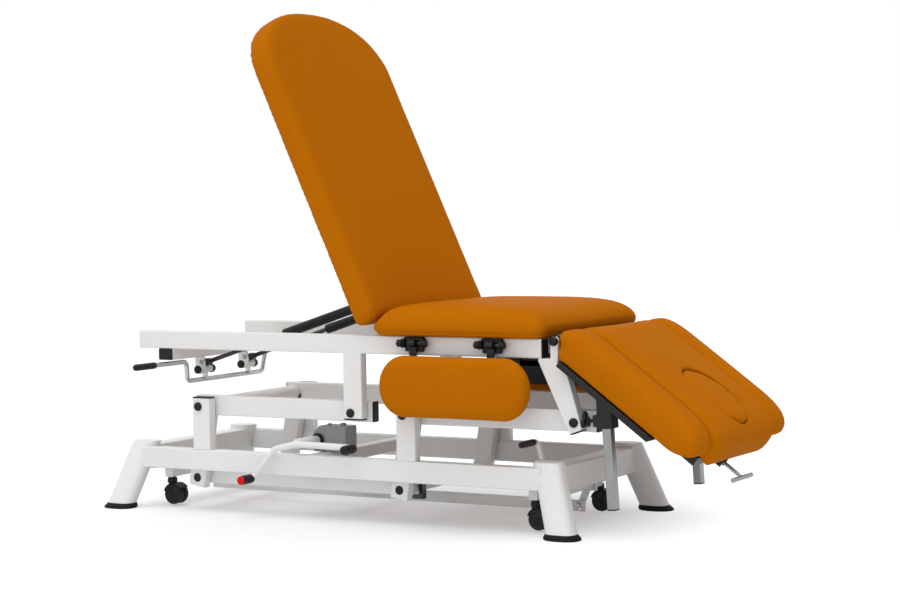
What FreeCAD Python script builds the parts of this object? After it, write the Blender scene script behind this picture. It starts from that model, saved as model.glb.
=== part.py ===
import FreeCAD, Part
import math
import os
import re
from types import SimpleNamespace

import Sketcher

# Hydraulic examination table: lifting frame on four legs, seat, reclining backrest and tilting leg section.
# X runs along the table to the leg section, Y across it to the far side, Z up from the floor, in millimetres.
# Positions are taken from the middle of the four feet, unless ANCHORS names another start for them.

Vector = FreeCAD.Vector
ALONG_Y = Vector(0, 1, 0)
ALONG_X = Vector(1, 0, 0)

SIZES = {
    # Middle of the four feet, seen from the middle of the whole outline
    "base_x": -174.7, "base_y": 39.5,
    # Legs and feet
    "foot_x": 723, "foot_y": 14, "leg_top_x": 661.5, "leg_top_y": -36.5, "leg_top": 186,
    "leg_long": 84, "leg_wide": 60, "foot_long": 102, "foot_wide": 76, "foot_tall": 20,
    # Base frame
    "frame_half": 279, "beam_deep": 34, "base_beam_low": 120.5, "base_beam_tall": 60,
    "cross_wide": 60, "cross_low": 112, "cross_tall": 70,
    "post_wide": 60, "post_deep": 30, "post_top": 331, "post_offset": 9, "cap": 4,
    # Lifting levers and their bolts
    "pivot_x": -444.6, "pivot_z": 303.5, "pivot_pitch": 681, "arm_reach": 516, "arm_tall": 57,
    "arm_rise": 1, "arm_tail": 30, "arm_over": 50, "arm_gap": 7, "arm_deep": 30,
    "drop_length": 212.5, "drop_lean": 9.6, "drop_wide": 55, "drop_over": 25,
    "bolt": 8, "bolt_head": 12.5, "bolt_tall": 7, "bolt_flat": 2, "running": 0.05,
    "pivot_tube": 21, "push_tube": 15, "link_gap": 2, "link_deep": 15, "link_tall": 36,
    # Pump, ram and pump pedal
    "pump_x": -112, "pump_long": 108, "pump_y": 89, "pump_deep": 60, "pump_top": 254, "pump_corner": 20,
    "pump_tube_x": -90, "pump_tube_wide": 40, "pump_tube_tall": 35,
    "ram_y": 119, "ram_z": 105, "ram_x": -150, "ram_long": 260, "ram_radius": 22, "rod_radius": 11,
    "yoke_deep": 20, "yoke_long": 62, "yoke_tall": 90, "slot_long": 38, "slot_tall": 66, "slot_rise": 13,
    "pedal_x": -94, "pedal_z": 214, "pedal_y": -23, "pedal_shaft": 10, "pedal_rod": 9,
    "pedal_left_x": -240, "pedal_left_z": 112, "pedal_bend_x": -167, "pedal_bend_z": 196,
    "pedal_right_x": 100, "pedal_right_z": 211, "grip_radius": 13, "grip_long": 58,
    # Top frame
    "top_low": 467, "top_tall": 51, "top_left": -718.4, "top_right": 596.6,
    "hang_offset": 6.6, "hang_low": 284,
    "slant_x": 576.6, "slant_top_x": 628.6, "slant_knee_x": 664.6, "slant_knee_z": 424,
    "slant_foot_x": 704.6, "slant_foot_z": 286, "slant_heel_x": 668.6, "slant_heel_z": 273,
    "left_tube_x": -653.4, "left_tube_wide": 48, "left_tube_tall": 33,
    "hinge_tube_x": 38.6, "tube_wide": 40, "hinge_tube_tall": 23, "right_tube_x": 528.6, "right_tube_tall": 40,
    # Seat
    "seat_x": 108.6, "seat_end": 598.6, "pad_wide": 620, "seat_tall": 79,
    # Backrest and its gas springs
    "back_x": 68.6, "back_z": 539, "back_angle": 65.4, "back_low": 18, "back_top": 976, "back_arch": 216,
    "back_rear": 19.6, "back_thick": 65, "lug_radius": 14, "lug_y": 140, "lug_deep": 10,
    "rail": 25, "rail_y": 160, "rail_low": 50, "rail_end": 700,
    "spring_y": 111, "spring_along": 93.3, "spring_rear": 45.3, "spring_x": -601.4, "spring_z": 417.5,
    "spring_radius": 14, "spring_long": 330, "spring_rod": 6.5, "eye_radius": 11, "pin": 5, "eye_half": 9,
    # Release handle
    "release_x": -615.4, "release_z": 396, "release_bar_x": -620.4, "release_bar_z": 366, "release_rod": 6,
    "release_half": -98, "release_up_y": -76, "release_up_z": 423, "release_grip_y": 51, "release_end": 155,
    "release_plate_y": 108, "release_plate_half": 30, "plate": 6, "release_grip": 11,
    # Leg section
    "leg_hinge_x": 626.6, "leg_hinge_z": 513, "leg_tilt": 36.3, "hinge_plate": 12, "hinge_round": 18,
    "hinge_tube": 15, "leg_low": -21, "leg_top_n": 76, "leg_start": 28, "leg_end": 500, "leg_half": 208,
    "leg_rail_y": 190, "leg_rail_end": 470, "mid_bar_u": 210,
    "plug_u": 355, "plug_long": 216, "plug_wide": 184, "plug_gap": 1,
    "handle_u": 466, "handle_n": -57, "handle_end": 542, "handle_half": 65,
    "strut_x": 548.6, "strut_z": 440, "strut_u": 190, "strut_n": -62, "strut_long": 150,
    # Wings of the leg section
    "wing_inner": 211, "wing_outer": 310, "wing_end": 475, "board": 18, "board_start": 52, "board_end": 364,
    "wing_tube": 25, "wing_tube_y": 275, "wing_tube_x": 777.3, "wing_tube_z": 295, "wing_tube_low": 86,
    "wing_lean": 3.39, "socket": 40, "socket_low": 293, "socket_gap": 0.1, "boss": 15,
    "knob_z": 313, "knob_reach": 69, "knob_thick": 11, "knob_core": 14, "knob_lobe": 8, "knob_ring": 17,
    # Side rests
    "rest_y": 21, "rest_z": 500, "rest_first": 211.6, "rest_second": 448.6, "rest_plate": 60, "rest_pin": 87,
    "rest_x": 134.6, "rest_end": 586.6, "rest_low": 305, "rest_top": 469, "rest_board": 12, "rest_pad": 48,
    "rest_corner": 70, "strap": 22, "strap_thick": 6,
    # Castors, their bars and their pedal
    "castor_left_x": -612, "castor_right_x": 592, "castor_y": -89, "castor_trail": 16, "castor_z": 34,
    "wheel_radius": 29, "wheel_wide": 15, "web_half": 5, "axle": 4, "stem": 5.5,
    "castor_bar": 26, "bar_low": 84, "bar_half": -74, "guide_y": 120, "guide_gap": 0.3,
    "shaft_x": 650, "shaft_z": 100, "shaft_radius": 9, "crank_y": 89, "crank_x": 618, "crank_knee": 177,
    "crank_top_x": 600, "crank_top_z": 240, "crank_rod": 6, "crank_grip": 9, "crank_grip_end": -1,
    "link_low": 30, "link_high": 60, "castor_link": 8, "link_pin_x": 627, "link_pin_z": 46, "link_left": -600,
}
# Places in SIZES that count from another size: along the top frame from its left pivot, across the table from
# the frame's far or near side
ANCHORS = {
    "pivot_x + arm_reach": (
        "top_left", "top_right", "slant_x", "slant_top_x", "slant_knee_x", "slant_foot_x", "slant_heel_x",
        "left_tube_x", "hinge_tube_x", "right_tube_x", "seat_x", "seat_end", "back_x", "spring_x", "release_x",
        "release_bar_x", "leg_hinge_x", "strut_x", "wing_tube_x", "rest_first", "rest_second", "rest_x", "rest_end"),
    "frame_half": ("foot_y", "leg_top_y", "castor_y", "bar_half", "rest_y", "release_half", "release_up_y",
                   "release_grip_y", "release_end"),
    "-frame_half": ("pump_y", "ram_y", "pedal_y", "crank_y", "crank_grip_end"),
}
SIDES = {"near": -1, "far": 1}

doc = FreeCAD.newDocument("examination_table")
sheet = doc.addObject("Spreadsheet::Sheet", "sizes")
for row, (alias, value) in enumerate(SIZES.items(), start=1):
    sheet.set(f"A{row}", alias)
    sheet.set(f"B{row}", str(value))
    sheet.setAlias(f"B{row}", alias)
for anchor, names in ANCHORS.items():
    for name in names:
        sheet.set(sheet.getCellFromAlias(name), f"=({anchor}) + ({SIZES[name]})")
doc.recompute()
d = SimpleNamespace(**{alias: float(sheet.get(alias)) for alias in SIZES})

NODES = {}

# Distances from the middle plane that several pieces share
BEAM_IN = "(frame_half - beam_deep)"
POST_IN = "(frame_half - post_deep)"
ARM_OUT = "(frame_half - post_deep - arm_gap)"
ARM_IN = "(frame_half - post_deep - arm_gap - arm_deep)"
LINK_OUT = f"({ARM_IN} - link_gap)"
LINK_IN = f"({ARM_IN} - link_gap - link_deep)"
BASE_TOP = "(base_beam_low + base_beam_tall)"
TOP_Z = "(top_low + top_tall)"
LEVERS = {"left": "pivot_x", "right": "(pivot_x + pivot_pitch)"}
DROP_X = "(-drop_length * sin(drop_lean))"
DROP_Z = "(pivot_z - drop_length * cos(drop_lean))"
PUSH_X = f"({LEVERS['right']} + {DROP_X})"


def sized(text):
    """Turn the size names in an expression into references to the sheet."""
    return re.sub(r"[A-Za-z_]\w*", lambda m: "sizes." + m[0] if m[0] in SIZES else m[0], str(text))


def bind(piece, **sizes):
    """Bind properties of a piece to expressions."""
    for name, text in sizes.items():
        piece.setExpression(name, sized(text))


def place(piece, at, turn=None, axis=ALONG_Y):
    """Place a piece from the base's middle, turned about an axis by an angle in degrees."""
    if turn is not None:
        piece.Placement = FreeCAD.Placement(Vector(), FreeCAD.Rotation(axis, 1))
        piece.setExpression("Placement.Rotation.Angle", sized(turn))
    piece.setExpression("Placement.Base.x", sized(f"base_x + ({at[0]})"))
    piece.setExpression("Placement.Base.y", sized(f"base_y + ({at[1]})"))
    piece.setExpression("Placement.Base.z", sized(at[2]))
    return piece


def box(name, at, size, turn=None):
    """A block with its low corner at a point."""
    block = doc.addObject("Part::Box", name)
    bind(block, Length=size[0], Width=size[1], Height=size[2])
    return place(block, at, turn)


def rod(name, radius, length, at, along="y"):
    """A round bar from a point, along an axis or along an angle from upright in the XZ plane."""
    bar = doc.addObject("Part::Cylinder", name)
    bind(bar, Radius=radius, Height=length)
    turns = {"x": (90, ALONG_Y), "y": (-90, ALONG_X), "z": (0, ALONG_Y)}
    return place(bar, at, *turns.get(along, (along, ALONG_Y)))


def cross_rod(name, radius, at, low, high):
    """A round bar along Y at a point (x, z), between two Y positions."""
    return rod(name, radius, f"({high}) - ({low})", (at[0], low, at[1]))


def group(name, pieces):
    """Pieces of one node that stay separate solids."""
    whole = doc.addObject("Part::Compound", name)
    whole.Links = list(pieces)
    return whole


def join(name, *pieces):
    """Pieces welded into one solid."""
    whole = doc.addObject("Part::MultiFuse", name)
    whole.Shapes = list(pieces)
    whole.Refine = True
    return whole


def cut(name, base, *tools):
    """A piece with others taken away from it."""
    for count, tool in enumerate(tools, start=1):
        step = doc.addObject("Part::Cut", name if count == len(tools) else f"{name}_step_{count}")
        step.Base = base
        step.Tool = tool
        base = step
    return base


def node(name, piece):
    """Register a finished piece for export under its node name."""
    piece.Label = name
    NODES[name] = piece
    return piece


def shaped(name, shape, at=("0", "0", "0"), turn=None, axis=ALONG_Y):
    """A piece whose form comes from Part functions."""
    piece = doc.addObject("Part::Feature", name)
    piece.Shape = shape
    return place(piece, at, turn, axis)


def low_side(sign, inner, outer):
    """Lower Y of something between two distances from the middle, on one side."""
    return f"-({outer})" if sign < 0 else f"({inner})"


def both_sides(name, make):
    """The near and far solids of one node."""
    return group(name, [make(f"{name}_{side}", sign) for side, sign in SIDES.items()])


def plate(name, outline, thickness, low_y):
    """A flat plate in the XZ plane with corners given as expressions, from low_y towards +Y."""
    body = doc.addObject("PartDesign::Body", name)
    sketch = body.newObject("Sketcher::SketchObject", f"{name}_outline")
    plane = next(part for part in body.Origin.OriginFeatures if part.Role == "XZ_Plane")
    sketch.AttachmentSupport = [(plane, "")]
    sketch.MapMode = "FlatFace"
    count = len(outline)
    turn = 2 * math.pi / count
    rough = [Vector(math.cos(turn * i), math.sin(turn * i), 0) for i in range(count)]
    for i in range(count):
        sketch.addGeometry(Part.LineSegment(rough[i], rough[(i + 1) % count]))
    for i in range(count):
        sketch.addConstraint(Sketcher.Constraint("Coincident", i, 2, (i + 1) % count, 1))
    for i, corner in enumerate(outline):
        for kind, text, start in zip(("DistanceX", "DistanceY"), corner, (rough[i].x, rough[i].y)):
            index = sketch.addConstraint(Sketcher.Constraint(kind, -1, 1, i, 1, start))
            sketch.setExpression(f"Constraints[{index}]", sized(text))
    pad = body.newObject("PartDesign::Pad", f"{name}_pad")
    pad.Profile = sketch
    bind(pad, Length=thickness)
    return place(body, ("0", f"{low_y} + {thickness}", "0"))


def bent_rod(points, radius, bend):
    """A round rod along straight runs joined by bends of one radius."""
    points = [Vector(*point) for point in points]
    edges = []
    start = points[0]
    for before, corner, after in zip(points, points[1:], points[2:]):
        back = (before - corner).normalize()
        onward = (after - corner).normalize()
        half = back.getAngle(onward) / 2
        enter = corner + back * (bend / math.tan(half))
        leave = corner + onward * (bend / math.tan(half))
        middle = corner + (back + onward).normalize() * (bend / math.sin(half) - bend)
        edges.append(Part.makeLine(start, enter))
        edges.append(Part.Arc(enter, middle, leave).toShape())
        start = leave
    edges.append(Part.makeLine(start, points[-1]))
    ring = Part.Wire(Part.makeCircle(radius, points[0], points[1] - points[0]))
    return Part.Wire(edges).makePipeShell([ring], True, False)


def oval(x, y, z, long, wide):
    """A level oval outline."""
    return Part.Wire(Part.Ellipse(Vector(x, y, z), long / 2, wide / 2).toShape())


def rounded(low, high, corner, z):
    """A level rectangle outline between two corners, with round corners."""
    (x0, y0), (x1, y1) = low, high
    diagonal = corner * (1 - math.sqrt(0.5))
    ends = [(x0 + corner, y0), (x1 - corner, y0), (x1, y0 + corner), (x1, y1 - corner),
            (x1 - corner, y1), (x0 + corner, y1), (x0, y1 - corner), (x0, y0 + corner)]
    tips = [(x1 - diagonal, y0 + diagonal), (x1 - diagonal, y1 - diagonal),
            (x0 + diagonal, y1 - diagonal), (x0 + diagonal, y0 + diagonal)]
    ends = [Vector(x, y, z) for x, y in ends]
    tips = [Vector(x, y, z) for x, y in tips]
    edges = []
    for side in range(4):
        first, last = ends[2 * side], ends[2 * side + 1]
        edges.append(Part.makeLine(first, last))
        edges.append(Part.Arc(last, tips[side], ends[(2 * side + 2) % 8]).toShape())
    return Part.Wire(edges)


def pillow(low, high, corner, levels):
    """A padded block: rounded outlines stacked at levels (height, inset of sides, of start, of end)."""
    outlines = []
    for z, sides, start, end in levels:
        outlines.append(rounded((low[0] + start, low[1] + sides), (high[0] - end, high[1] - sides),
                                max(corner - sides, 6), z))
    return Part.makeLoft(outlines, True, True)


def tilted(u, y, n):
    """A point of the tilted leg section: along it, across it and out of its face, from its hinge."""
    return (f"leg_hinge_x + ({u}) * cos(leg_tilt) + ({n}) * sin(leg_tilt)", y,
            f"leg_hinge_z - ({u}) * sin(leg_tilt) + ({n}) * cos(leg_tilt)")


def tilted_box(name, u, y, n, size):
    """A block square to the tilted leg section."""
    return box(name, tilted(u, y, n), size, "leg_tilt")


def reclined(along, y, rear):
    """A point of the backrest: up along it, across it and behind its hinge."""
    return (f"back_x - ({along}) * cos(back_angle) - ({rear}) * sin(back_angle)", y,
            f"back_z + ({along}) * sin(back_angle) - ({rear}) * cos(back_angle)")


def reclined_box(name, along, y, rear, size):
    """A block square to the backrest: sizes along it, across it and to the rear."""
    return box(name, reclined(along, y, rear), size, "back_angle - 180")


def leaned(x, y, rise):
    """A point of a wing tube: beside its middle line, across the table and up from the socket."""
    foot = "(wing_tube_x + (wing_tube_z - socket_low) * tan(wing_lean))"
    return (f"{foot} + ({x}) * cos(wing_lean) - ({rise}) * sin(wing_lean)", y,
            f"socket_low + ({x}) * sin(wing_lean) + ({rise}) * cos(wing_lean)")


def leaned_box(name, x, y, rise, size):
    """A block square to a wing tube."""
    return box(name, leaned(x, y, rise), size, "-wing_lean")


def bolt_through(name, at, sign, outer, inner, head="bolt_tall"):
    """A bolt from a head on an outer face to an inner distance."""
    shank = rod(f"{name}_shank", "bolt", f"({outer}) - ({inner})", (at[0], low_side(sign, inner, outer), at[1]))
    cap_low = low_side(sign, outer, f"{outer} + {head}")
    cap = rod(f"{name}_head", "bolt_head", head, (at[0], cap_low, at[1]))
    return join(name, shank, cap)


def bore(name, radius, at, half="frame_half + 20"):
    """A hole right across the table at a point (x, z)."""
    return cross_rod(name, radius, at, f"-({half})", half)


# Legs with rubber feet
def corner_signs():
    """The four corners of the base."""
    return [(x, y) for x in (-1, 1) for y in (-1, 1)]


def leg_middle(z):
    """Middle of a leg at a height, for the corner at +X and +Y."""
    share = z / d.leg_top
    return d.foot_x + (d.leg_top_x - d.foot_x) * share, d.foot_y + (d.leg_top_y - d.foot_y) * share


def stacked_ovals(sections):
    """Solids of all four corners through level ovals (height, long, wide) on the leg's middle line."""
    solids = []
    for x, y in corner_signs():
        outlines = []
        for z, long, wide in sections:
            middle = leg_middle(z)
            outlines.append(oval(x * middle[0], y * middle[1], z, long, wide))
        solids.append(Part.makeLoft(outlines, True, True))
    return Part.makeCompound(solids)


legs = node("legs", shaped("legs", stacked_ovals(
    [(d.foot_tall, d.leg_long, d.leg_wide), (d.leg_top, d.leg_long, d.leg_wide)])))
node("rubber_feet", shaped("rubber_feet", stacked_ovals(
    [(0, d.foot_long, d.foot_wide), (d.foot_tall / 3, d.foot_long, d.foot_wide),
     (d.foot_tall, d.leg_long + 4, d.leg_wide + 4)])))


# Base frame
def base_side_beam(name, sign):
    beam = box(f"{name}_bar", ("-leg_top_x", low_side(sign, BEAM_IN, "frame_half"), "base_beam_low"),
               ("2 * leg_top_x", "beam_deep", "base_beam_tall"))
    return cut(name, beam, legs)


def base_cross_beam(name, middle):
    beam = box(f"{name}_bar", (f"{middle} - cross_wide / 2", f"-{BEAM_IN}", "cross_low"),
               ("cross_wide", f"2 * {BEAM_IN}", "cross_tall"))
    return cut(name, beam, legs)


def lower_post(name, sign, pivot):
    post = box(f"{name}_bar", (f"{pivot} + post_offset - post_wide / 2", low_side(sign, POST_IN, "frame_half"),
                               BASE_TOP), ("post_wide", "post_deep", f"post_top - cap - {BASE_TOP}"))
    return cut(name, post, bore(f"{name}_bore", "bolt + running", (pivot, "pivot_z")))


def lower_post_cap(name, sign, pivot):
    return box(name, (f"{pivot} + post_offset - post_wide / 2", low_side(sign, POST_IN, "frame_half"),
                      "post_top - cap"), ("post_wide", "post_deep", "cap"))


def at_levers(name, make, *more):
    """One solid per side and lever."""
    return [make(f"{name}_{side}_{end}", sign, pivot, *more)
            for side, sign in SIDES.items() for end, pivot in LEVERS.items()]


node("base_side_beams", both_sides("base_side_beams", base_side_beam))
pump_tube = box("base_cross_beams_pump", ("pump_tube_x", f"-{BEAM_IN}", f"{BASE_TOP} - pump_tube_tall"),
                ("pump_tube_wide", f"2 * {BEAM_IN}", "pump_tube_tall"))
node("base_cross_beams", group("base_cross_beams", [
    base_cross_beam("base_cross_beam_left", "-leg_top_x"), base_cross_beam("base_cross_beam_right", "leg_top_x"),
    pump_tube]))
node("lower_posts", group("lower_posts", at_levers("lower_post", lower_post)))
node("lower_post_caps", group("lower_post_caps", at_levers("lower_post_cap", lower_post_cap)))


def pivot_bolt(name, sign, pivot, reach="0"):
    return bolt_through(name, (f"{pivot} + {reach}", "pivot_z"), sign, "frame_half", f"{ARM_IN} + 2")


node("base_pivot_bolts", group("base_pivot_bolts", at_levers("base_pivot_bolt", pivot_bolt)))


# Lifting levers: a level arm and a leaning arm down to the connecting bars
def lift_lever(name, sign, pivot):
    low_y = low_side(sign, ARM_IN, ARM_OUT)
    arm = box(f"{name}_arm", (f"{pivot} - arm_tail", low_y, "pivot_z + arm_rise - arm_tall / 2"),
              ("arm_tail + arm_reach + arm_over", "arm_deep", "arm_tall"))
    length = "(drop_length + drop_over)"
    drop = box(f"{name}_drop", (f"{pivot} - drop_wide / 2 * cos(drop_lean) - {length} * sin(drop_lean)", low_y,
                                f"pivot_z + drop_wide / 2 * sin(drop_lean) - {length} * cos(drop_lean)"),
               ("drop_wide", "arm_deep", length), "drop_lean")
    holes = [bore(f"{name}_bore_{i}", "bolt + running", at) for i, at in enumerate(
        [(pivot, "pivot_z"), (f"{pivot} + arm_reach", "pivot_z"), (f"{pivot} + {DROP_X}", DROP_Z)])]
    return cut(name, join(f"{name}_weld", arm, drop), *holes)


for end, pivot in LEVERS.items():
    levers = [lift_lever(f"lift_lever_{side}_{end}", sign, pivot) for side, sign in SIDES.items()]
    levers.append(cross_rod(f"lift_tube_{end}", "pivot_tube", (pivot, "pivot_z"), f"-{ARM_IN}", ARM_IN))
    node(f"lift_levers_{end}", group(f"lift_levers_{end}", levers))


# Connecting bars between the lower ends of the levers
def connecting_bar(name, sign):
    start = f"({LEVERS['left']} + {DROP_X})"
    bar = box(f"{name}_bar", (f"{start} - link_tall / 2", low_side(sign, LINK_IN, LINK_OUT),
                              f"{DROP_Z} - link_tall / 2"),
              ("pivot_pitch + link_tall", "link_deep", "link_tall"))
    holes = [bore(f"{name}_bore_{end}", "bolt + running", (f"{pivot} + {DROP_X}", DROP_Z))
             for end, pivot in LEVERS.items()]
    return cut(name, bar, *holes)


def link_bolt(name, sign, pivot):
    return bolt_through(name, (f"{pivot} + {DROP_X}", DROP_Z), sign, ARM_OUT, LINK_IN, "bolt_flat")


bars = [connecting_bar(f"connecting_bar_{side}", sign) for side, sign in SIDES.items()]
bars += [cross_rod(f"push_tube_{end}", "push_tube", (f"{pivot} + {DROP_X}", DROP_Z), f"-{LINK_IN}", LINK_IN)
         for end, pivot in LEVERS.items()]
node("connecting_bars", group("connecting_bars", bars))
node("link_bolts", group("link_bolts", at_levers("link_bolt", link_bolt)))

# Hydraulic pump, ram and rod
housing = plate("pump_casting", [("pump_x", BASE_TOP), ("pump_x + pump_long", BASE_TOP),
                                 ("pump_x + pump_long", "pump_top"), ("pump_x + pump_corner", "pump_top"),
                                 ("pump_x", "pump_top - pump_corner")], "pump_deep", "pump_y")
shaft_seat = cross_rod("pump_bore", "pedal_shaft + running", ("pedal_x", "pedal_z"), "pump_y - 1", "pump_y + 32")
node("pump_housing", cut("pump_housing", housing, shaft_seat))
ram_tube = rod("ram_tube", "ram_radius", "ram_long", ("ram_x", "ram_y", "ram_z"), "x")
saddle_top = f"({BASE_TOP} - pump_tube_tall)"
saddle = box("ram_saddle", ("pump_tube_x", "ram_y - ram_radius - 3", "ram_z"),
             ("pump_tube_wide", "2 * ram_radius + 6", f"{saddle_top} - ram_z"))
pipe = rod("ram_pipe", "5", f"{BASE_TOP} - ram_z - ram_radius + 2", ("-20", "ram_y", "ram_z + ram_radius - 2"), "z")
ram_bore = rod("ram_bore", "rod_radius + running", "ram_long", ("ram_x + 10", "ram_y", "ram_z"), "x")
node("ram_cylinder", cut("ram_cylinder", join("ram_weld", ram_tube, saddle, pipe), ram_bore))
yoke = box("ram_yoke", (f"{PUSH_X} - yoke_long / 2", "ram_y - yoke_deep / 2",
                        f"{DROP_Z} + slot_rise - yoke_tall / 2"), ("yoke_long", "yoke_deep", "yoke_tall"))
slot = box("ram_slot", (f"{PUSH_X} - slot_long / 2", "ram_y - yoke_deep", f"{DROP_Z} + slot_rise - slot_tall / 2"),
           ("slot_long", "2 * yoke_deep", "slot_tall"))
rod_start = "(ram_x + 90)"
ram_bar = rod("ram_bar", "rod_radius", f"{PUSH_X} - yoke_long / 2 + 1 - {rod_start}",
              (rod_start, "ram_y", "ram_z"), "x")
node("ram_rod", cut("ram_rod", join("ram_rod_weld", yoke, ram_bar), slot))

# Pump pedal: a two-way rocking bar with two foot grips
near_end = d.pedal_y - d.grip_long
pedal_bar = shaped("pedal_bar", bent_rod(
    [(d.pedal_left_x, near_end, d.pedal_left_z), (d.pedal_left_x, d.pedal_y, d.pedal_left_z),
     (d.pedal_bend_x, d.pedal_y, d.pedal_bend_z), (d.pedal_x, d.pedal_y, d.pedal_z),
     (d.pedal_right_x, d.pedal_y, d.pedal_right_z), (d.pedal_right_x, near_end, d.pedal_right_z)],
    d.pedal_rod, 1.6 * d.pedal_rod))
pedal_shaft = cross_rod("pedal_shaft_bar", "pedal_shaft", ("pedal_x", "pedal_z"), "pedal_y", "pump_y + 30")
pedal = node("pump_pedal", join("pump_pedal", pedal_bar, pedal_shaft))
grips = []
for end in ("left", "right"):
    sleeve = rod(f"pedal_sleeve_{end}", "grip_radius", "grip_long - pedal_rod * 3",
                 (f"pedal_{end}_x", "pedal_y - grip_long - 4", f"pedal_{end}_z"))
    grips.append(cut(f"pedal_grip_{end}", sleeve, pedal))
node("pump_pedal_grips", group("pump_pedal_grips", grips))


# Top frame
def top_side_beam(name, sign):
    return box(name, ("top_left", low_side(sign, BEAM_IN, "frame_half"), "top_low"),
               ("top_right - top_left", "beam_deep", "top_tall"))


HANG_X = "(pivot_x + arm_reach + hang_offset - post_wide / 2)"


def hanging_post(name, sign):
    post = box(f"{name}_bar", (HANG_X, low_side(sign, POST_IN, "frame_half"), "hang_low + cap"),
               ("post_wide", "post_deep", "top_low - hang_low - cap"))
    return cut(name, post, bore(f"{name}_bore", "bolt + running", ("pivot_x + arm_reach", "pivot_z")))


def slanted_post(name, sign):
    low_y = low_side(sign, POST_IN, "frame_half")
    post = plate(f"{name}_bar", [("slant_x", "top_low"), ("slant_top_x", "top_low"),
                                 ("slant_knee_x", "slant_knee_z"), ("slant_foot_x", "slant_foot_z"),
                                 ("slant_heel_x", "slant_heel_z")], "post_deep", low_y)
    plate_y = low_side(sign, "frame_half - hinge_plate", "frame_half")
    ear = box(f"{name}_ear", ("leg_hinge_x - hinge_round + 4", plate_y, "top_low - 1"),
              ("2 * hinge_round - 12", "hinge_plate", "leg_hinge_z - top_low + 1"))
    eye = rod(f"{name}_eye", "hinge_round", "hinge_plate", ("leg_hinge_x", plate_y, "leg_hinge_z"))
    pivot = f"({LEVERS['right']} + arm_reach)"
    return cut(name, join(f"{name}_weld", post, ear, eye),
               bore(f"{name}_bore", "bolt + running", (pivot, "pivot_z")),
               bore(f"{name}_hinge_bore", "bolt + running", ("leg_hinge_x", "leg_hinge_z")))


node("top_side_beams", both_sides("top_side_beams", top_side_beam))
node("hanging_posts", both_sides("hanging_posts", hanging_post))
node("slanted_posts", both_sides("slanted_posts", slanted_post))

left_tube = box("top_tube_left", ("left_tube_x", "-(frame_half - cap)", "top_low - left_tube_tall"),
                ("left_tube_wide", "2 * (frame_half - cap)", "left_tube_tall"))


def back_lug(name, sign):
    low_y = low_side(sign, "lug_y", "lug_y + lug_deep")
    tube_top = "(top_low + hinge_tube_tall)"
    web = box(f"{name}_web", ("back_x - lug_radius", low_y, f"{tube_top} - 1"),
              ("2 * lug_radius", "lug_deep", f"back_z - {tube_top} + 1"))
    eye = rod(f"{name}_eye", "lug_radius", "lug_deep", ("back_x", low_y, "back_z"))
    stub = rod(f"{name}_stub", "bolt", "lug_deep + 15", ("back_x", low_side(sign, "lug_y", "lug_y + lug_deep + 15"),
                                                       "back_z"))
    return [web, eye, stub]


hinge_tube = box("top_tube_hinge", ("hinge_tube_x", f"-{BEAM_IN}", "top_low"),
                 ("tube_wide", f"2 * {BEAM_IN}", "hinge_tube_tall"))
lugs = [piece for side, sign in SIDES.items() for piece in back_lug(f"back_lug_{side}", sign)]
right_tube_low = f"({TOP_Z} - 3 - right_tube_tall)"
right_tube = box("top_tube_right", ("right_tube_x", f"-{BEAM_IN}", right_tube_low),
                 ("tube_wide", f"2 * {BEAM_IN}", "right_tube_tall"))
strut_lugs = [box(f"strut_lug_{side}", ("strut_x - 12", low_side(sign, "eye_half + 1", "eye_half + 1 + plate"),
                                       "strut_z - 12"), ("24", "plate", f"{right_tube_low} - strut_z + 13"))
              for side, sign in SIDES.items()]
strut_pin = cross_rod("strut_pin", "pin", ("strut_x", "strut_z"), "-(eye_half + 3)", "eye_half + 3")
node("top_cross_tubes", group("top_cross_tubes", [
    left_tube, join("top_tube_hinge_weld", hinge_tube, *lugs),
    join("top_tube_right_weld", right_tube, *strut_lugs, strut_pin)]))


def top_caps(name, sign):
    """Plastic plugs in the open tube ends of one side."""
    beam_y = low_side(sign, BEAM_IN, "frame_half")
    post_y = low_side(sign, POST_IN, "frame_half")
    tube_y = low_side(sign, "frame_half - cap", "frame_half")
    return [box(f"{name}_foot", (HANG_X, post_y, "hang_low"), ("post_wide", "post_deep", "cap")),
            box(f"{name}_left", ("top_left - cap", beam_y, "top_low"), ("cap", "beam_deep", "top_tall")),
            box(f"{name}_right", ("top_right", beam_y, "top_low"), ("cap", "beam_deep", "top_tall")),
            box(f"{name}_tube", ("left_tube_x", tube_y, "top_low - left_tube_tall"),
                ("left_tube_wide", "cap", "left_tube_tall"))]


node("top_frame_caps", group("top_frame_caps", [
    piece for side, sign in SIDES.items() for piece in top_caps(f"top_cap_{side}", sign)]))
hinge_bolts = [bolt_through(f"hinge_bolt_{side}", ("leg_hinge_x", "leg_hinge_z"), sign, "frame_half",
                            f"{POST_IN} - 3") for side, sign in SIDES.items()]
node("top_pivot_bolts", group("top_pivot_bolts", at_levers("top_pivot_bolt", pivot_bolt, "arm_reach") + hinge_bolts))

# Bracket plates under the left cross tube
RELEASE = ("release_x", "release_z")
PLATES = {f"{side}_{edge}": (sign, offset) for side, sign in SIDES.items()
          for edge, offset in (("inner", "-release_plate_half - plate"), ("outer", "release_plate_half"))}


def bracket_plate(name, sign, offset):
    low_y = low_side(sign, f"release_plate_y + {offset}", f"release_plate_y + {offset} + plate")
    sheet_plate = box(f"{name}_sheet", ("left_tube_x + 8", low_y, "release_z - 14"),
                      ("left_tube_wide + 6", "plate", "top_low - left_tube_tall - release_z + 14"))
    return cut(name, sheet_plate, bore(f"{name}_bore", "pin + running", RELEASE))


node("spring_brackets", group("spring_brackets", [
    bracket_plate(f"spring_bracket_{name}", *where) for name, where in PLATES.items()]))

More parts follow.
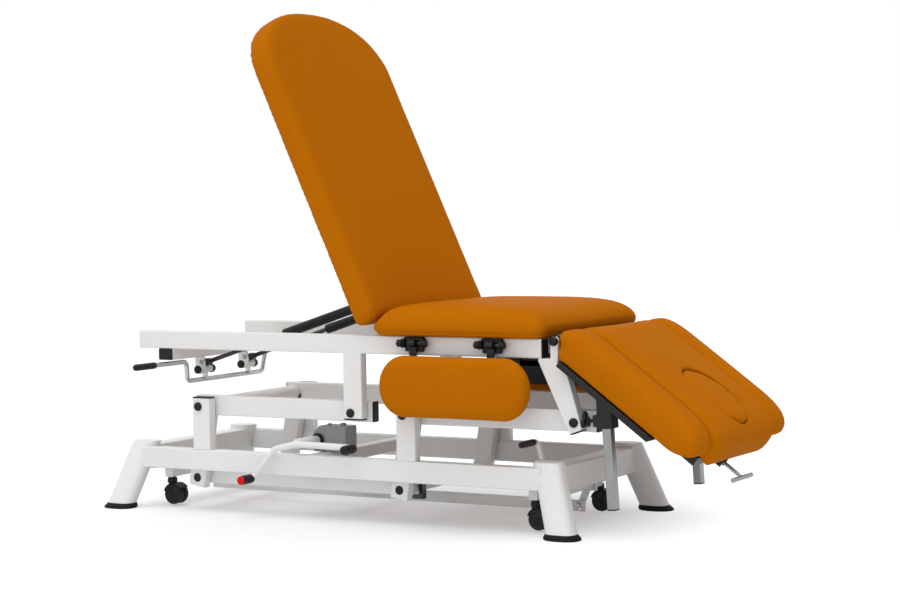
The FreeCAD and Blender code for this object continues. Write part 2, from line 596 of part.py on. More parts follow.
# Release handle: a cross rod on two tabs, with one end led out to a grip
release_rod = shaped("release_rod_bar", bent_rod(
    [(d.release_bar_x, d.release_up_y + 4, d.release_up_z), (d.release_bar_x, d.release_half, d.release_bar_z),
     (d.release_bar_x, -d.release_half, d.release_bar_z), (d.release_bar_x, -d.release_up_y, d.release_up_z),
     (d.release_bar_x, -d.release_end, d.release_up_z)], d.release_rod, 2.5 * d.release_rod))
tabs = []
for side, sign in SIDES.items():
    low_y = low_side(sign, "release_plate_y - 4", "release_plate_y + 4")
    tabs.append(box(f"release_tab_{side}", ("release_bar_x - 3", low_y, "release_bar_z"),
                    ("16", "8", "release_z + 8 - release_bar_z")))
    pin_half = "(release_plate_half + plate + 3)"
    tabs.append(rod(f"release_pin_{side}", "pin", f"2 * {pin_half}",
                    ("release_x", f"{sign} * release_plate_y - {pin_half}", "release_z")))
release = node("release_handle", join("release_handle", release_rod, *tabs))
grip_bar = rod("release_grip_bar", "release_grip", "release_end - release_grip_y",
               ("release_bar_x", "-release_end - 2", "release_up_z"))
node("release_grip", cut("release_grip", grip_bar, release))

# Seat cushion with a rolled front edge
half = d.pad_wide / 2
node("seat_cushion", shaped("seat_cushion", pillow((0, -half), (d.seat_end - d.seat_x, half), 30, [
    (0, 8, 4, 22), (14, 3, 0, 6), (34, 0, 0, 0), (54, 2, 2, 6), (70, 10, 8, 26), (d.seat_tall, 26, 26, 58)]),
    ("seat_x", "0", TOP_Z)))


# Backrest with an arched top
def arched(inset, z):
    """Outline of the backrest in its own plane, drawn in by an inset."""
    low = d.back_low + inset
    top = d.back_top - inset
    side = half - inset
    shoulder = d.back_top - d.back_arch
    arch = Part.Ellipse(Vector(shoulder, side, z), Vector(top, 0, z), Vector(shoulder, 0, z))
    corners = [Vector(shoulder, -side, z), Vector(low, -side, z), Vector(low, side, z), Vector(shoulder, side, z)]
    crown = Vector(top, 0, z)
    quarters = []
    for first, last in ((corners[3], crown), (crown, corners[0])):
        start, end = arch.parameter(first), arch.parameter(last)
        if end < start:
            end += 2 * math.pi
        if end - start > math.pi:
            start, end = end, start + 2 * math.pi
        quarters.append(Part.ArcOfEllipse(arch, start, end).toShape())
    lines = [Part.makeLine(first, last) for first, last in zip(corners, corners[1:])]
    return Part.Wire(Part.__sortEdges__(lines + quarters))


front = d.back_rear - d.back_thick
node("backrest_cushion", shaped("backrest_cushion", Part.makeLoft([
    arched(inset, z) for z, inset in ((front, 26), (front + 8, 11), (front + 24, 1), (front + 34, 0),
                                      (d.back_rear - 12, 1), (d.back_rear, 5))], True, True),
    ("back_x", "0", "back_z"), "back_angle - 180"))


def back_rail(name, sign):
    """A rail behind the backrest with its arm to the hinge pin."""
    rail_bar = reclined_box(f"{name}_bar", "rail_low", low_side(sign, "rail_y - rail / 2", "rail_y + rail / 2"),
                            "back_rear", ("rail_end - rail_low", "rail", "rail"))
    arm_y = low_side(sign, "lug_y + lug_deep + 2", "lug_y + 2 * lug_deep + 2")
    foot = reclined_box(f"{name}_foot", "-12", arm_y, "back_rear + 1",
                        ("rail_low + 13", "lug_deep", "rail - 1"))
    neck = reclined_box(f"{name}_neck", "-12", arm_y, "0", ("24", "lug_deep", "back_rear + rail"))
    eye = rod(f"{name}_eye", "lug_radius", "lug_deep", ("back_x", arm_y, "back_z"))
    return cut(name, join(f"{name}_weld", rail_bar, foot, neck, eye),
               bore(f"{name}_bore", "bolt + running", ("back_x", "back_z")))


U_POINT = reclined("spring_along", "0", "spring_rear")
SPRING_TURN = f"atan2(spring_x - ({U_POINT[0]}); spring_z - ({U_POINT[2]}))"


def along_spring(distance, y):
    """A point on a gas spring's middle line, down from its upper pin."""
    return (f"{U_POINT[0]} + ({distance}) * sin({SPRING_TURN})", y,
            f"{U_POINT[2]} + ({distance}) * cos({SPRING_TURN})")


cross_bar = reclined_box("back_cross_bar", "rail_low", "-(rail_y - rail / 2)", "back_rear",
                         ("rail", "2 * rail_y - rail", "rail"))
spring_lugs = []
for side, sign in SIDES.items():
    for edge, offset in (("inner", "-eye_half - 1 - plate"), ("outer", "eye_half + 1")):
        low_y = low_side(sign, f"spring_y + {offset}", f"spring_y + {offset} + plate")
        spring_lugs.append(reclined_box(f"spring_lug_{side}_{edge}", "rail_low + rail - 1", low_y,
                                        "spring_rear - 12", ("spring_along - rail_low - rail + 11", "plate", "22")))
    spring_lugs.append(rod(f"spring_pin_{side}", "pin", "2 * eye_half + 4",
                           (U_POINT[0], f"{sign} * spring_y - eye_half - 2", U_POINT[2])))
node("backrest_frame", group("backrest_frame", [
    back_rail("back_rail_near", -1), back_rail("back_rail_far", 1),
    join("back_cross_weld", cross_bar, *spring_lugs)]))


def gas_spring(name, sign):
    y = f"{sign} * spring_y"
    eye = rod(f"{name}_eye", "eye_radius", "2 * eye_half", (U_POINT[0], f"{y} - eye_half", U_POINT[2]))
    tube = rod(f"{name}_tube", "spring_radius", "spring_long - 8", along_spring("8", y), SPRING_TURN)
    hole = rod(f"{name}_hole", "spring_rod + running", "spring_long", along_spring("150", y), SPRING_TURN)
    pin_hole = rod(f"{name}_pin_hole", "pin + running", "4 * eye_half", (U_POINT[0], f"{y} - 2 * eye_half",
                                                                        U_POINT[2]))
    clear = [rod(f"{name}_clear_{i}", "spring_radius + 3", "20", (U_POINT[0], low, U_POINT[2]))
             for i, low in enumerate((f"{y} - eye_half - 20", f"{y} + eye_half"))]
    return cut(name, join(f"{name}_weld", eye, cut(f"{name}_cheeks", tube, *clear)), hole, pin_hole)


def gas_spring_rod(name, sign):
    y = f"{sign} * spring_y"
    reach = f"sqrt((spring_x - ({U_POINT[0]}))^2 + (spring_z - ({U_POINT[2]}))^2)"
    bar = rod(f"{name}_bar", "spring_rod", f"{reach} - 230", along_spring("230", y), SPRING_TURN)
    bulb = rod(f"{name}_bulb", "eye_radius", "2 * eye_half", ("spring_x", f"{y} - eye_half", "spring_z"))
    return join(name, bar, bulb)


node("gas_spring_cylinders", both_sides("gas_spring_cylinders", gas_spring))
node("gas_spring_rods", both_sides("gas_spring_rods", gas_spring_rod))


# Frame of the leg section
def leg_rail(name, sign):
    low_y = low_side(sign, "leg_rail_y - rail / 2", "leg_rail_y + rail / 2")
    bar = tilted_box(f"{name}_bar", "-12", low_y, "leg_low - rail", ("leg_rail_end + 12", "rail", "rail"))
    web = tilted_box(f"{name}_web", "-12", low_y, "leg_low - 1", ("24", "rail", "-leg_low + 1"))
    around = bore(f"{name}_around", "hinge_tube", ("leg_hinge_x", "leg_hinge_z"))
    return cut(name, join(f"{name}_weld", bar, web), around)


def wing_space(name, n):
    """Everything above a level of the leg section."""
    return tilted_box(name, "-100", "-(wing_outer + 20)", n, ("800", "2 * wing_outer + 40", "300"))


def wing_socket(name, sign):
    y = f"{sign} * wing_tube_y"
    sleeve = leaned_box(f"{name}_sleeve", "-socket / 2", f"{y} - socket / 2", "0", ("socket", "socket", "110"))
    boss = leaned_box(f"{name}_boss", "-socket / 2 - boss", f"{y} - boss", "knob_z - socket_low - boss",
                      ("boss + 1", "2 * boss", "2 * boss"))
    wide = "(wing_tube + 2 * socket_gap)"
    hole = leaned_box(f"{name}_hole", f"-{wide} / 2", f"{y} - {wide} / 2", "-20", (wide, wide, "200"))
    stud_hole = rod(f"{name}_stud_hole", "pin + running", "socket / 2 + boss + 20",
                    leaned("-socket / 2 - boss - 20", y, "knob_z - socket_low"), "90 - wing_lean")
    return cut(name, join(f"{name}_weld", sleeve, boss), wing_space(f"{name}_space", "leg_low - board - 2"),
               hole, stud_hole)


hinge_bar = cut("leg_hinge_bar", cross_rod("leg_hinge_tube", "hinge_tube", ("leg_hinge_x", "leg_hinge_z"),
                                           f"-({POST_IN} + 15)", f"{POST_IN} + 15"),
                bore("leg_hinge_bore", "bolt + running", ("leg_hinge_x", "leg_hinge_z")))
rail_in = "(leg_rail_y - rail / 2)"
end_bar = tilted_box("leg_end_bar", "leg_rail_end - rail", f"-{rail_in}", "leg_low - rail",
                     ("rail", f"2 * {rail_in}", "rail"))
handle_cheeks = [tilted_box(f"handle_cheek_{side}", "leg_rail_end - rail", low_side(sign, "eye_half + 1",
                            "eye_half + 1 + plate"), "handle_n - 12",
                            ("rail + 10", "plate", "leg_low - rail - handle_n + 13"))
                 for side, sign in SIDES.items()]
handle_at = tilted("handle_u", "0", "handle_n")
handle_pin = cross_rod("handle_pin", "pin", (handle_at[0], handle_at[2]), "-(eye_half + 3)", "eye_half + 3")
socket_face = "(wing_tube_y - socket / 2)"
mid_bar = tilted_box("leg_mid_bar", "mid_bar_u", f"-{socket_face}", "leg_low - 2 * rail",
                     ("rail", f"2 * {socket_face}", "rail"))
strut_at = tilted("strut_u", "0", "strut_n")
strut_cheeks = [tilted_box(f"strut_cheek_{side}", "strut_u - 10", low_side(sign, "eye_half + 1",
                           "eye_half + 1 + plate"), "strut_n - 10", ("mid_bar_u - strut_u + 11", "plate", "20"))
                for side, sign in SIDES.items()]
strut_end_pin = cross_rod("strut_end_pin", "pin", (strut_at[0], strut_at[2]), "-(eye_half + 3)", "eye_half + 3")
node("leg_frame", group("leg_frame", [
    hinge_bar, leg_rail("leg_rail_near", -1), leg_rail("leg_rail_far", 1),
    join("leg_end_weld", end_bar, *handle_cheeks, handle_pin),
    join("leg_mid_weld", mid_bar, *strut_cheeks, strut_end_pin),
    wing_socket("wing_socket_near", -1), wing_socket("wing_socket_far", 1)]))

# Strut that holds the leg section
STRUT_TURN = f"atan2({strut_at[0]} - strut_x; {strut_at[2]} - strut_z)"
STRUT_REACH = f"sqrt(({strut_at[0]} - strut_x)^2 + ({strut_at[2]} - strut_z)^2)"


def along_strut(distance):
    """A point on the strut's middle line, from its pin on the top frame."""
    return (f"strut_x + ({distance}) * sin({STRUT_TURN})", "0", f"strut_z + ({distance}) * cos({STRUT_TURN})")


strut_eye = cross_rod("strut_eye", "eye_radius", ("strut_x", "strut_z"), "-eye_half", "eye_half")
strut_tube = rod("strut_tube", "eye_half - 1", "strut_long - 8", along_strut("8"), STRUT_TURN)
strut_hole = rod("strut_hole", "pin + running", "strut_long", along_strut("30"), STRUT_TURN)
strut_eye_hole = bore("strut_eye_hole", "pin + running", ("strut_x", "strut_z"))
node("leg_strut_cylinder", cut("leg_strut_cylinder", join("strut_weld", strut_eye, strut_tube),
                               strut_hole, strut_eye_hole))
end_eye = cross_rod("strut_end_eye", "eye_radius + 3", (strut_at[0], strut_at[2]), "-eye_half", "eye_half")
strut_bar = rod("strut_bar", "pin", f"{STRUT_REACH} - 48", along_strut("48"), STRUT_TURN)
loose = bore("strut_end_hole", "pin + 4", (strut_at[0], strut_at[2]))
node("leg_strut_rod", cut("leg_strut_rod", join("strut_rod_weld", end_eye, strut_bar), loose))

# Pads of the leg section
LEG_LEVELS = [(d.leg_low, 6, 8, 26), (d.leg_low + 16, 0, 0, 8), (d.leg_low + 40, 0, 0, 0),
              (d.leg_top_n - 30, 2, 3, 6), (d.leg_top_n - 9, 11, 14, 24), (d.leg_top_n, 28, 34, 52)]
PLUG_LEVELS = [(d.leg_low + 4, 6), (d.leg_low + 16, 0), (d.leg_top_n - 16, 0), (d.leg_top_n - 5, 5),
               (d.leg_top_n, 16)]


def plug_outline(inset, z):
    return oval(d.plug_u, 0, z, d.plug_long - 2 * inset, d.plug_wide - 2 * inset)


hole_outline = plug_outline(-d.plug_gap, d.leg_low - 10)
plug_hole = Part.Face(hole_outline).extrude(Vector(0, 0, d.leg_top_n - d.leg_low + 20))
LEG_HINGE = ("leg_hinge_x", "0", "leg_hinge_z")
centre_pad = pillow((d.leg_start, -d.leg_half), (d.leg_end, d.leg_half), 34, LEG_LEVELS)
node("leg_pad", shaped("leg_pad", centre_pad.cut(plug_hole), LEG_HINGE, "leg_tilt"))
plug_solid = Part.makeLoft([plug_outline(inset, z) for z, inset in PLUG_LEVELS], True, True)
node("face_plug", shaped("face_plug", plug_solid, LEG_HINGE, "leg_tilt"))

# Handle at the end of the leg section
handle_eye = cross_rod("handle_eye", "eye_radius - 1", (handle_at[0], handle_at[2]), "-eye_half", "eye_half")
handle_rod = rod("handle_rod", "pin", "handle_end - handle_u", handle_at, "90 + leg_tilt")
handle_end_at = tilted("handle_end", "0", "handle_n")
handle_bar = cross_rod("handle_bar", "pin + 1", (handle_end_at[0], handle_end_at[2]), "-handle_half", "handle_half")
node("tilt_handle", cut("tilt_handle", join("handle_weld", handle_eye, handle_rod, handle_bar),
                        bore("handle_hole", "pin + running", (handle_at[0], handle_at[2]))))

# Wings: side pads on boards, each on a tube in a socket with a clamping knob
for side, sign in SIDES.items():
    inner, outer = sorted((sign * d.wing_inner, sign * d.wing_outer))
    wing_pad = pillow((d.leg_start, inner), (d.wing_end, outer), 30, LEG_LEVELS)
    node(f"wing_pad_{side}", shaped(f"wing_pad_{side}", wing_pad, LEG_HINGE, "leg_tilt"))
    wing_board = tilted_box(f"wing_board_{side}", "board_start", low_side(sign, "wing_inner + 2", "wing_outer - 2"),
                            "leg_low - board", ("board_end - board_start", "wing_outer - wing_inner - 4", "board"))
    tube_y = f"{sign} * wing_tube_y"
    tube = leaned_box(f"wing_tube_{side}", "-wing_tube / 2", f"{tube_y} - wing_tube / 2",
                      "wing_tube_low - socket_low", ("wing_tube", "wing_tube", "socket_low - wing_tube_low + 120"))
    tube = cut(f"wing_tube_{side}_trim", tube, wing_space(f"wing_tube_{side}_space", "leg_low - board"))
    node(f"wing_carrier_{side}", group(f"wing_carrier_{side}", [wing_board, tube]))
    rise = "knob_z - socket_low"
    knob = [rod(f"knob_stud_{side}", "pin", "knob_reach - wing_tube / 2 - 0.5", leaned("-knob_reach", tube_y, rise),
                "90 - wing_lean"),
            rod(f"knob_core_{side}", "knob_core", "knob_thick", leaned("-knob_reach", tube_y, rise),
                "90 - wing_lean")]
    for lobe in range(3):
        angle = 90 + 120 * lobe
        knob.append(rod(f"knob_lobe_{side}_{lobe}", "knob_lobe", "knob_thick",
                        leaned("-knob_reach", f"{tube_y} + knob_ring * cos({angle})",
                               f"{rise} + knob_ring * sin({angle})"), "90 - wing_lean"))
    node(f"wing_knob_{side}", join(f"wing_knob_{side}", *knob))

# Side rests on hinges at the top side beams
REST_MIDDLES = {"first": "rest_first", "second": "rest_second"}


def rest_hinge(name, sign, middle):
    """A hinge base on the beam with two ears and a pin."""
    sheet_y = low_side(sign, "frame_half", "frame_half + 8")
    base = box(f"{name}_base", (f"{middle} - rest_plate / 2", sheet_y, "rest_z - 22"), ("rest_plate", "8", "38"))
    ear_y = low_side(sign, "frame_half + 7", "rest_y + 12")
    ears = [box(f"{name}_ear_{i}", (f"{middle} + {start}", ear_y, "rest_z - 10"),
                ("12", "rest_y + 5 - frame_half", "20"))
            for i, start in enumerate(("strap / 2 + 2", "-strap / 2 - 14"))]
    pin = rod(f"{name}_pin", "pin", "rest_pin", (f"{middle} - rest_pin / 2", f"{sign} * rest_y", "rest_z"), "x")
    return join(name, base, *ears, pin)


def rest_strap(name, sign, middle):
    """A strap with a barrel on the hinge pin, led down behind the board."""
    barrel = rod(f"{name}_barrel", "2 * pin", "strap", (f"{middle} - strap / 2", f"{sign} * rest_y", "rest_z"), "x")
    inner = "(rest_y - 3 - strap_thick)"
    flat = box(f"{name}_flat", (f"{middle} - strap / 2", low_side(sign, inner, f"{inner} + strap_thick"),
                                "rest_low + 90"), ("strap", "strap_thick", "rest_z - rest_low - 90"))
    hole = rod(f"{name}_hole", "pin + running", "2 * strap", (f"{middle} - strap", f"{sign} * rest_y", "rest_z"),
               "x")
    return cut(name, join(f"{name}_weld", barrel, flat), hole)


node("side_rest_hinges", group("side_rest_hinges", [
    rest_hinge(f"side_rest_hinge_{side}_{order}", sign, middle)
    for side, sign in SIDES.items() for order, middle in REST_MIDDLES.items()]))
rest_size = ((0, 0), (d.rest_end - d.rest_x, d.rest_top - d.rest_low))
for side, sign in SIDES.items():
    start_z = "rest_low" if sign < 0 else "rest_top"
    board_wire = rounded((10, 10), (rest_size[1][0] - 10, rest_size[1][1] - 10), d.rest_corner - 10, 0)
    rest_board = shaped(f"rest_board_{side}", Part.Face(board_wire).extrude(Vector(0, 0, d.rest_board)),
                        ("rest_x", f"{sign} * (rest_y - 3)", start_z), f"{-sign} * 90", ALONG_X)
    straps = [rest_strap(f"rest_strap_{side}_{order}", sign, middle) for order, middle in REST_MIDDLES.items()]
    node(f"side_rest_board_{side}", group(f"side_rest_board_{side}", [rest_board, *straps]))
    rest_pad = pillow(*rest_size, d.rest_corner, [(0, 5, 5, 5), (10, 0, 0, 0), (30, 1, 1, 1),
                                                  (d.rest_pad - 6, 9, 9, 9), (d.rest_pad, 24, 24, 24)])
    node(f"side_rest_pad_{side}", shaped(f"side_rest_pad_{side}", rest_pad, (
        "rest_x", f"{sign} * (rest_y - 3 + rest_board)", start_z), f"{-sign} * 90", ALONG_X))

# Castors on two bars that are lowered together
CASTOR_BARS = {"left": "castor_left_x", "right": "castor_right_x"}


def castor_bar(name, middle):
    """A square bar with a hole for each castor's stem."""
    bar = box(f"{name}_bar", (f"{middle} - castor_bar / 2", "-bar_half", "bar_low"),
              ("castor_bar", "2 * bar_half", "castor_bar"))
    holes = [rod(f"{name}_hole_{side}", "stem + running", "castor_bar + 20",
                 (middle, f"{sign} * castor_y", "bar_low - 10"), "z") for side, sign in SIDES.items()]
    return cut(name, bar, *holes)


node("castor_bars", group("castor_bars", [castor_bar(f"castor_bar_{end}", middle)
                                          for end, middle in CASTOR_BARS.items()]))
for end, middle in CASTOR_BARS.items():
    for side, sign in SIDES.items():
        label = f"{side}_{end}"
        y = f"{sign} * castor_y"
        hub = f"{middle} + castor_trail"
        web = rod(f"castor_web_{label}", "wheel_radius - 3", "2 * web_half", (hub, f"{y} - web_half", "castor_z"))
        axle = rod(f"castor_axle_{label}", "axle", "2 * (web_half + wheel_wide) + 2",
                   (hub, f"{y} - web_half - wheel_wide - 1", "castor_z"))
        neck = box(f"castor_neck_{label}", (f"{middle} - 9", f"{y} - web_half", "castor_z + 8"),
                   ("castor_trail + 9", "2 * web_half", "bar_low - castor_z - 10"))
        collar = rod(f"castor_collar_{label}", "11", "10", (middle, y, "bar_low - 10.3"), "z")
        stem = rod(f"castor_stem_{label}", "stem", "castor_bar + 6", (middle, y, "bar_low - 8"), "z")
        node(f"castor_fork_{label}", join(f"castor_fork_{label}", web, axle, neck, collar, stem))
        wheels = []
        for edge, start in (("inner", "web_half + 0.5"), ("outer", "-web_half - wheel_wide - 0.5")):
            wheel = rod(f"castor_wheel_{label}_{edge}", "wheel_radius", "wheel_wide",
                        (hub, f"{y} + {start}", "castor_z"))
            hole = rod(f"castor_wheel_hole_{label}_{edge}", "axle + running", "wheel_wide + 20",
                       (hub, f"{y} + {start} - 10", "castor_z"))
            wheels.append(cut(f"castor_tyre_{label}_{edge}", wheel, hole))
        node(f"castor_wheels_{label}", group(f"castor_wheels_{label}", wheels))

# Guides of the castor bars and hangers of the castor shaft
CROSS_IN = "(leg_top_x - cross_wide / 2)"
guides = []
for side, sign in SIDES.items():
    low_y = f"{sign} * guide_y - 15"
    left_face = "(castor_left_x - castor_bar / 2 - guide_gap)"
    guides.append(box(f"castor_guide_left_{side}", (f"-{CROSS_IN}", low_y, "bar_low"),
                      (f"{left_face} + {CROSS_IN}", "30", "cross_low + 40 - bar_low")))
    right_face = "(castor_right_x + castor_bar / 2 + guide_gap)"
    guides.append(box(f"castor_guide_right_{side}", (right_face, low_y, "bar_low"),
                      (f"{CROSS_IN} - {right_face}", "30", "cross_low + 40 - bar_low")))
for name, low_y in (("near", "crank_y + 30"), ("middle", "20")):
    hanger = box(f"castor_hanger_{name}_sheet", ("shaft_x - 18", low_y, "shaft_z - 15"),
                 ("36", "8", "cross_low - shaft_z + 15"))
    guides.append(cut(f"castor_hanger_{name}", hanger, bore(f"castor_hanger_{name}_bore", "shaft_radius + running",
                                                           ("shaft_x", "shaft_z"))))
node("castor_brackets", group("castor_brackets", guides))

# Castor pedal: shaft with a cranked rod, grip and the lever that pulls the link
crank = shaped("castor_crank", bent_rod(
    [(d.shaft_x, d.crank_y, d.shaft_z), (d.crank_x, d.crank_y, d.shaft_z), (d.crank_x, d.crank_y, d.crank_knee),
     (d.crank_top_x, d.crank_y, d.crank_top_z), (d.crank_top_x, d.crank_grip_end, d.crank_top_z)],
    d.crank_rod, 2 * d.crank_rod))
shaft = cross_rod("castor_shaft", "shaft_radius", ("shaft_x", "shaft_z"), "crank_y - 10", "34")
lever_y = "castor_link / 2 + 1"
LEVER_TURN = "atan2(link_pin_x - shaft_x; link_pin_z - shaft_z)"
lever_half = "10"
lever = box("castor_lever", (f"shaft_x - {lever_half} * cos({LEVER_TURN})", lever_y,
                             f"shaft_z + {lever_half} * sin({LEVER_TURN})"),
            (f"2 * {lever_half}", "8", "sqrt((link_pin_x - shaft_x)^2 + (link_pin_z - shaft_z)^2) + 9"), LEVER_TURN)
link_pin = cross_rod("castor_link_pin", "pin", ("link_pin_x", "link_pin_z"), "-castor_link", f"{lever_y} + 2")
castor_pedal = node("castor_pedal", join("castor_pedal", crank, shaft, lever, link_pin))
crank_sleeve = cross_rod("castor_sleeve", "crank_grip", ("crank_top_x", "crank_top_z"), "crank_grip_end - 3",
                         "crank_y - 3 * crank_rod")
node("castor_pedal_grip", cut("castor_pedal_grip", crank_sleeve, castor_pedal))
link_bar = box("castor_link_bar", ("link_left", "-castor_link / 2", "link_low"),
               ("link_pin_x + 16 - link_left", "castor_link", "link_high - link_low"))
link_slot = box("castor_link_slot", ("link_pin_x - pin - 0.8", "-castor_link", "link_low + 3"),
                ("2 * pin + 1.6", "2 * castor_link", "link_pin_z + pin + 3 - link_low - 3"))
node("castor_link", cut("castor_link", link_bar, link_slot))

doc.recompute()
for piece in doc.Objects:
    if "Invalid" in piece.State or "Error" in piece.State:
        raise RuntimeError(f"{piece.Label} did not build: {piece.State}")
os.makedirs("parts", exist_ok=True)
for name, piece in NODES.items():
    shape = piece.Shape
    if shape.isNull() or not shape.isValid() or not shape.Solids:
        raise RuntimeError(f"{name} has no valid solid")
    shape.exportStep(f"parts/{name}.step")
print(len(NODES), "nodes")
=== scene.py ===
import logging
import math
from collections.abc import Iterable
from dataclasses import dataclass
from enum import Enum
from functools import reduce

import bmesh
import bpy
import numpy as np
from mathutils import Matrix


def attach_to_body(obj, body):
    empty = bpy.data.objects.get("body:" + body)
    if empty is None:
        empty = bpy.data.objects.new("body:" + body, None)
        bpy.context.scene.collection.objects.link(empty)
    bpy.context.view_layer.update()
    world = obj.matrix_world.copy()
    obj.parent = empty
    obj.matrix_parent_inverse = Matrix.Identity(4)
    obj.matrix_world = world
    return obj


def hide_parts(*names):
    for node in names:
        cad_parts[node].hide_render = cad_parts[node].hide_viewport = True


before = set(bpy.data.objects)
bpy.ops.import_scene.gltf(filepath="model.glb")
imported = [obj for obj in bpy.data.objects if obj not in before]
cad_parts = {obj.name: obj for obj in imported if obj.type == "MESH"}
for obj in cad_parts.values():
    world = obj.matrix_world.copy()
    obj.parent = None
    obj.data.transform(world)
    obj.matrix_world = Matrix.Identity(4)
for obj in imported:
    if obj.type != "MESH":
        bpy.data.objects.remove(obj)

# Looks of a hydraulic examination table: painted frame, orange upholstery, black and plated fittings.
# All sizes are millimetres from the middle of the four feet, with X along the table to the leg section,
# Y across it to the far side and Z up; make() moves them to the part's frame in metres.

log = logging.getLogger("examination_table")
Pair = tuple[float, float]
Point = tuple[float, float, float]
Rows = tuple[tuple[float, ...], ...]

MM = 0.001
BASE = np.array((-174.7, 39.5, 0.0))
SIDES = {"near": -1.0, "far": 1.0}
X_AXIS, Y_AXIS, Z_AXIS = np.eye(3)
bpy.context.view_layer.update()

# The frame's half width, its usual tube, the lifting levers' pivots and the black bolt heads on them
OUTER = 279.0
TUBE = (60.0, 30.0)
BEAM_DEEP = 34.0
PIVOTS_X = (-444.6, 236.4)
PIVOT_Z = 303.5
BOLT = 12.5
# Helpers of the meshes: radius that closes a turned form, share of a rod's domed end, edges that stay sharp,
# points of a plate's round corner, and two directions that no axis here runs along
CLOSED = 0.01
DOMED = 0.25
CREASE = math.radians(38)
CORNER_POINTS = 7
ASKEW_ROD = (0.31, 0.92, 0.23)
ASKEW_TURNED = (0.21, 0.35, 0.91)
# Shares of a finish: how far its roughness varies with the grain, and the strength of its bumps
ROUGHNESS_SPREAD = 0.05
BUMP = 0.6


class Slot(Enum):
    """Material slots of the record."""

    WHITE = "white_enamel"
    PLASTIC = "black_plastic"
    ORANGE = "orange_upholstery"
    BLACK = "black_enamel"
    ZINC = "zinc_steel"
    GREY = "grey_enamel"
    RUBBER = "black_rubber"
    CASTOR = "castor_plastic"


def linear(colour: str) -> tuple[float, float, float, float]:
    """Turn an sRGB hex colour into linear RGBA.

    Args:
        colour: Six hex digits with a leading hash.

    Returns:
        Linear red, green, blue and an alpha of one.
    """
    channels = np.array([int(colour[i:i + 2], 16) for i in (1, 3, 5)]) / 255
    low = channels / 12.92
    high = ((channels + 0.055) / 1.055) ** 2.4
    return (*np.where(channels <= 0.04045, low, high).tolist(), 1.0)


def add(tree: bpy.types.NodeTree, kind: str, links: dict, **settings) -> bpy.types.Node:
    """Add a node with its settings, fixed inputs and links.

    Args:
        tree: The tree that gets the node.
        kind: Blender's name of the node type.
        links: Input name or number to an output socket, or to a fixed value.
        **settings: Properties of the node.

    Returns:
        The new node.
    """
    made = tree.nodes.new(kind)
    for name, value in settings.items():
        setattr(made, name, value)
    for key, value in links.items():
        if isinstance(value, bpy.types.NodeSocket):
            tree.links.new(value, made.inputs[key])
        else:
            made.inputs[key].default_value = value
    return made


def noise(tree: bpy.types.NodeTree, place: bpy.types.NodeSocket, width_mm: float,
          detail: float = 2.0) -> bpy.types.NodeSocket:
    """Add even noise of a real width.

    Args:
        tree: The tree that gets the node.
        place: Coordinates.
        width_mm: Width of one grain or patch.
        detail: Finer layers of the noise.

    Returns:
        The noise, zero to one.
    """
    made = add(tree, "ShaderNodeTexNoise", {"Vector": place, "Scale": 1 / (width_mm * MM), "Detail": detail})
    return made.outputs["Fac"]


@dataclass(frozen=True)
class Finish:
    """A finish with a fine grain, a soft change of tone and rounded edges on sharp solids.

    Attributes:
        name: Name of the real material.
        slot: Slot of the record.
        colour: Main sRGB colour.
        shade: Second sRGB colour, mixed in softly.
        roughness: Middle roughness.
        grain_mm: Width of one grain of the surface.
        depth_mm: Height of the grain.
        patch_mm: Width of the soft patches of tone.
        metallic: One for bare metal.
        edge_mm: Radius of the rounded edges on sharp solids.
        specular: Strength of the clear reflection, one half for a common plastic.
        stretch: Scale of the grain along X, Y and Z.
    """

    name: str
    slot: Slot
    colour: str
    shade: str
    roughness: float
    grain_mm: float
    depth_mm: float
    patch_mm: float
    metallic: float = 0.0
    edge_mm: float = 1.2
    specular: float = 0.5
    stretch: Point = (1.0, 1.0, 1.0)

    def material(self) -> bpy.types.Material:
        """Find the Blender material, or build it the first time.

        Returns:
            The material.
        """
        made = bpy.data.materials.get(self.name)
        if made is None:
            made = bpy.data.materials.new(self.name)
            made.use_nodes = True
            made.node_tree.nodes.clear()
            self.build(made.node_tree)
        return made

    def build(self, tree: bpy.types.NodeTree) -> None:
        """Fill the tree: tone from broad noise, roughness and bump from fine noise.

        Args:
            tree: The empty tree of the material.
        """
        place = add(tree, "ShaderNodeTexCoord", {}).outputs["Object"]
        grain = self.grain(tree, place)
        tone = add(tree, "ShaderNodeMix", {"Factor": noise(tree, place, self.patch_mm, 3.0),
                                           "A": linear(self.colour), "B": linear(self.shade)}, data_type="RGBA")
        rough = add(tree, "ShaderNodeMapRange", {"Value": grain, "To Min": self.roughness - ROUGHNESS_SPREAD,
                                                 "To Max": self.roughness + ROUGHNESS_SPREAD})
        edge = add(tree, "ShaderNodeBevel", {"Radius": self.edge_mm * MM}, samples=4)
        bump = add(tree, "ShaderNodeBump", {"Height": grain, "Strength": BUMP, "Distance": self.depth_mm * MM,
                                            "Normal": edge.outputs["Normal"]})
        shader = add(tree, "ShaderNodeBsdfPrincipled", {
            "Base Color": tone.outputs[2], "Roughness": rough.outputs["Result"], "Metallic": self.metallic,
            "Specular IOR Level": self.specular, "Normal": bump.outputs["Normal"]})
        add(tree, "ShaderNodeOutputMaterial", {"Surface": shader.outputs["BSDF"]})

    def grain(self, tree: bpy.types.NodeTree, place: bpy.types.NodeSocket) -> bpy.types.NodeSocket:
        """Add the fine grain: even noise at the grain's real width, drawn out where the finish is.

        Args:
            tree: The tree of the material.
            place: Object coordinates.

        Returns:
            The height of the grain.
        """
        drawn = add(tree, "ShaderNodeMapping", {"Vector": place, "Scale": self.stretch})
        return noise(tree, drawn.outputs["Vector"], self.grain_mm)


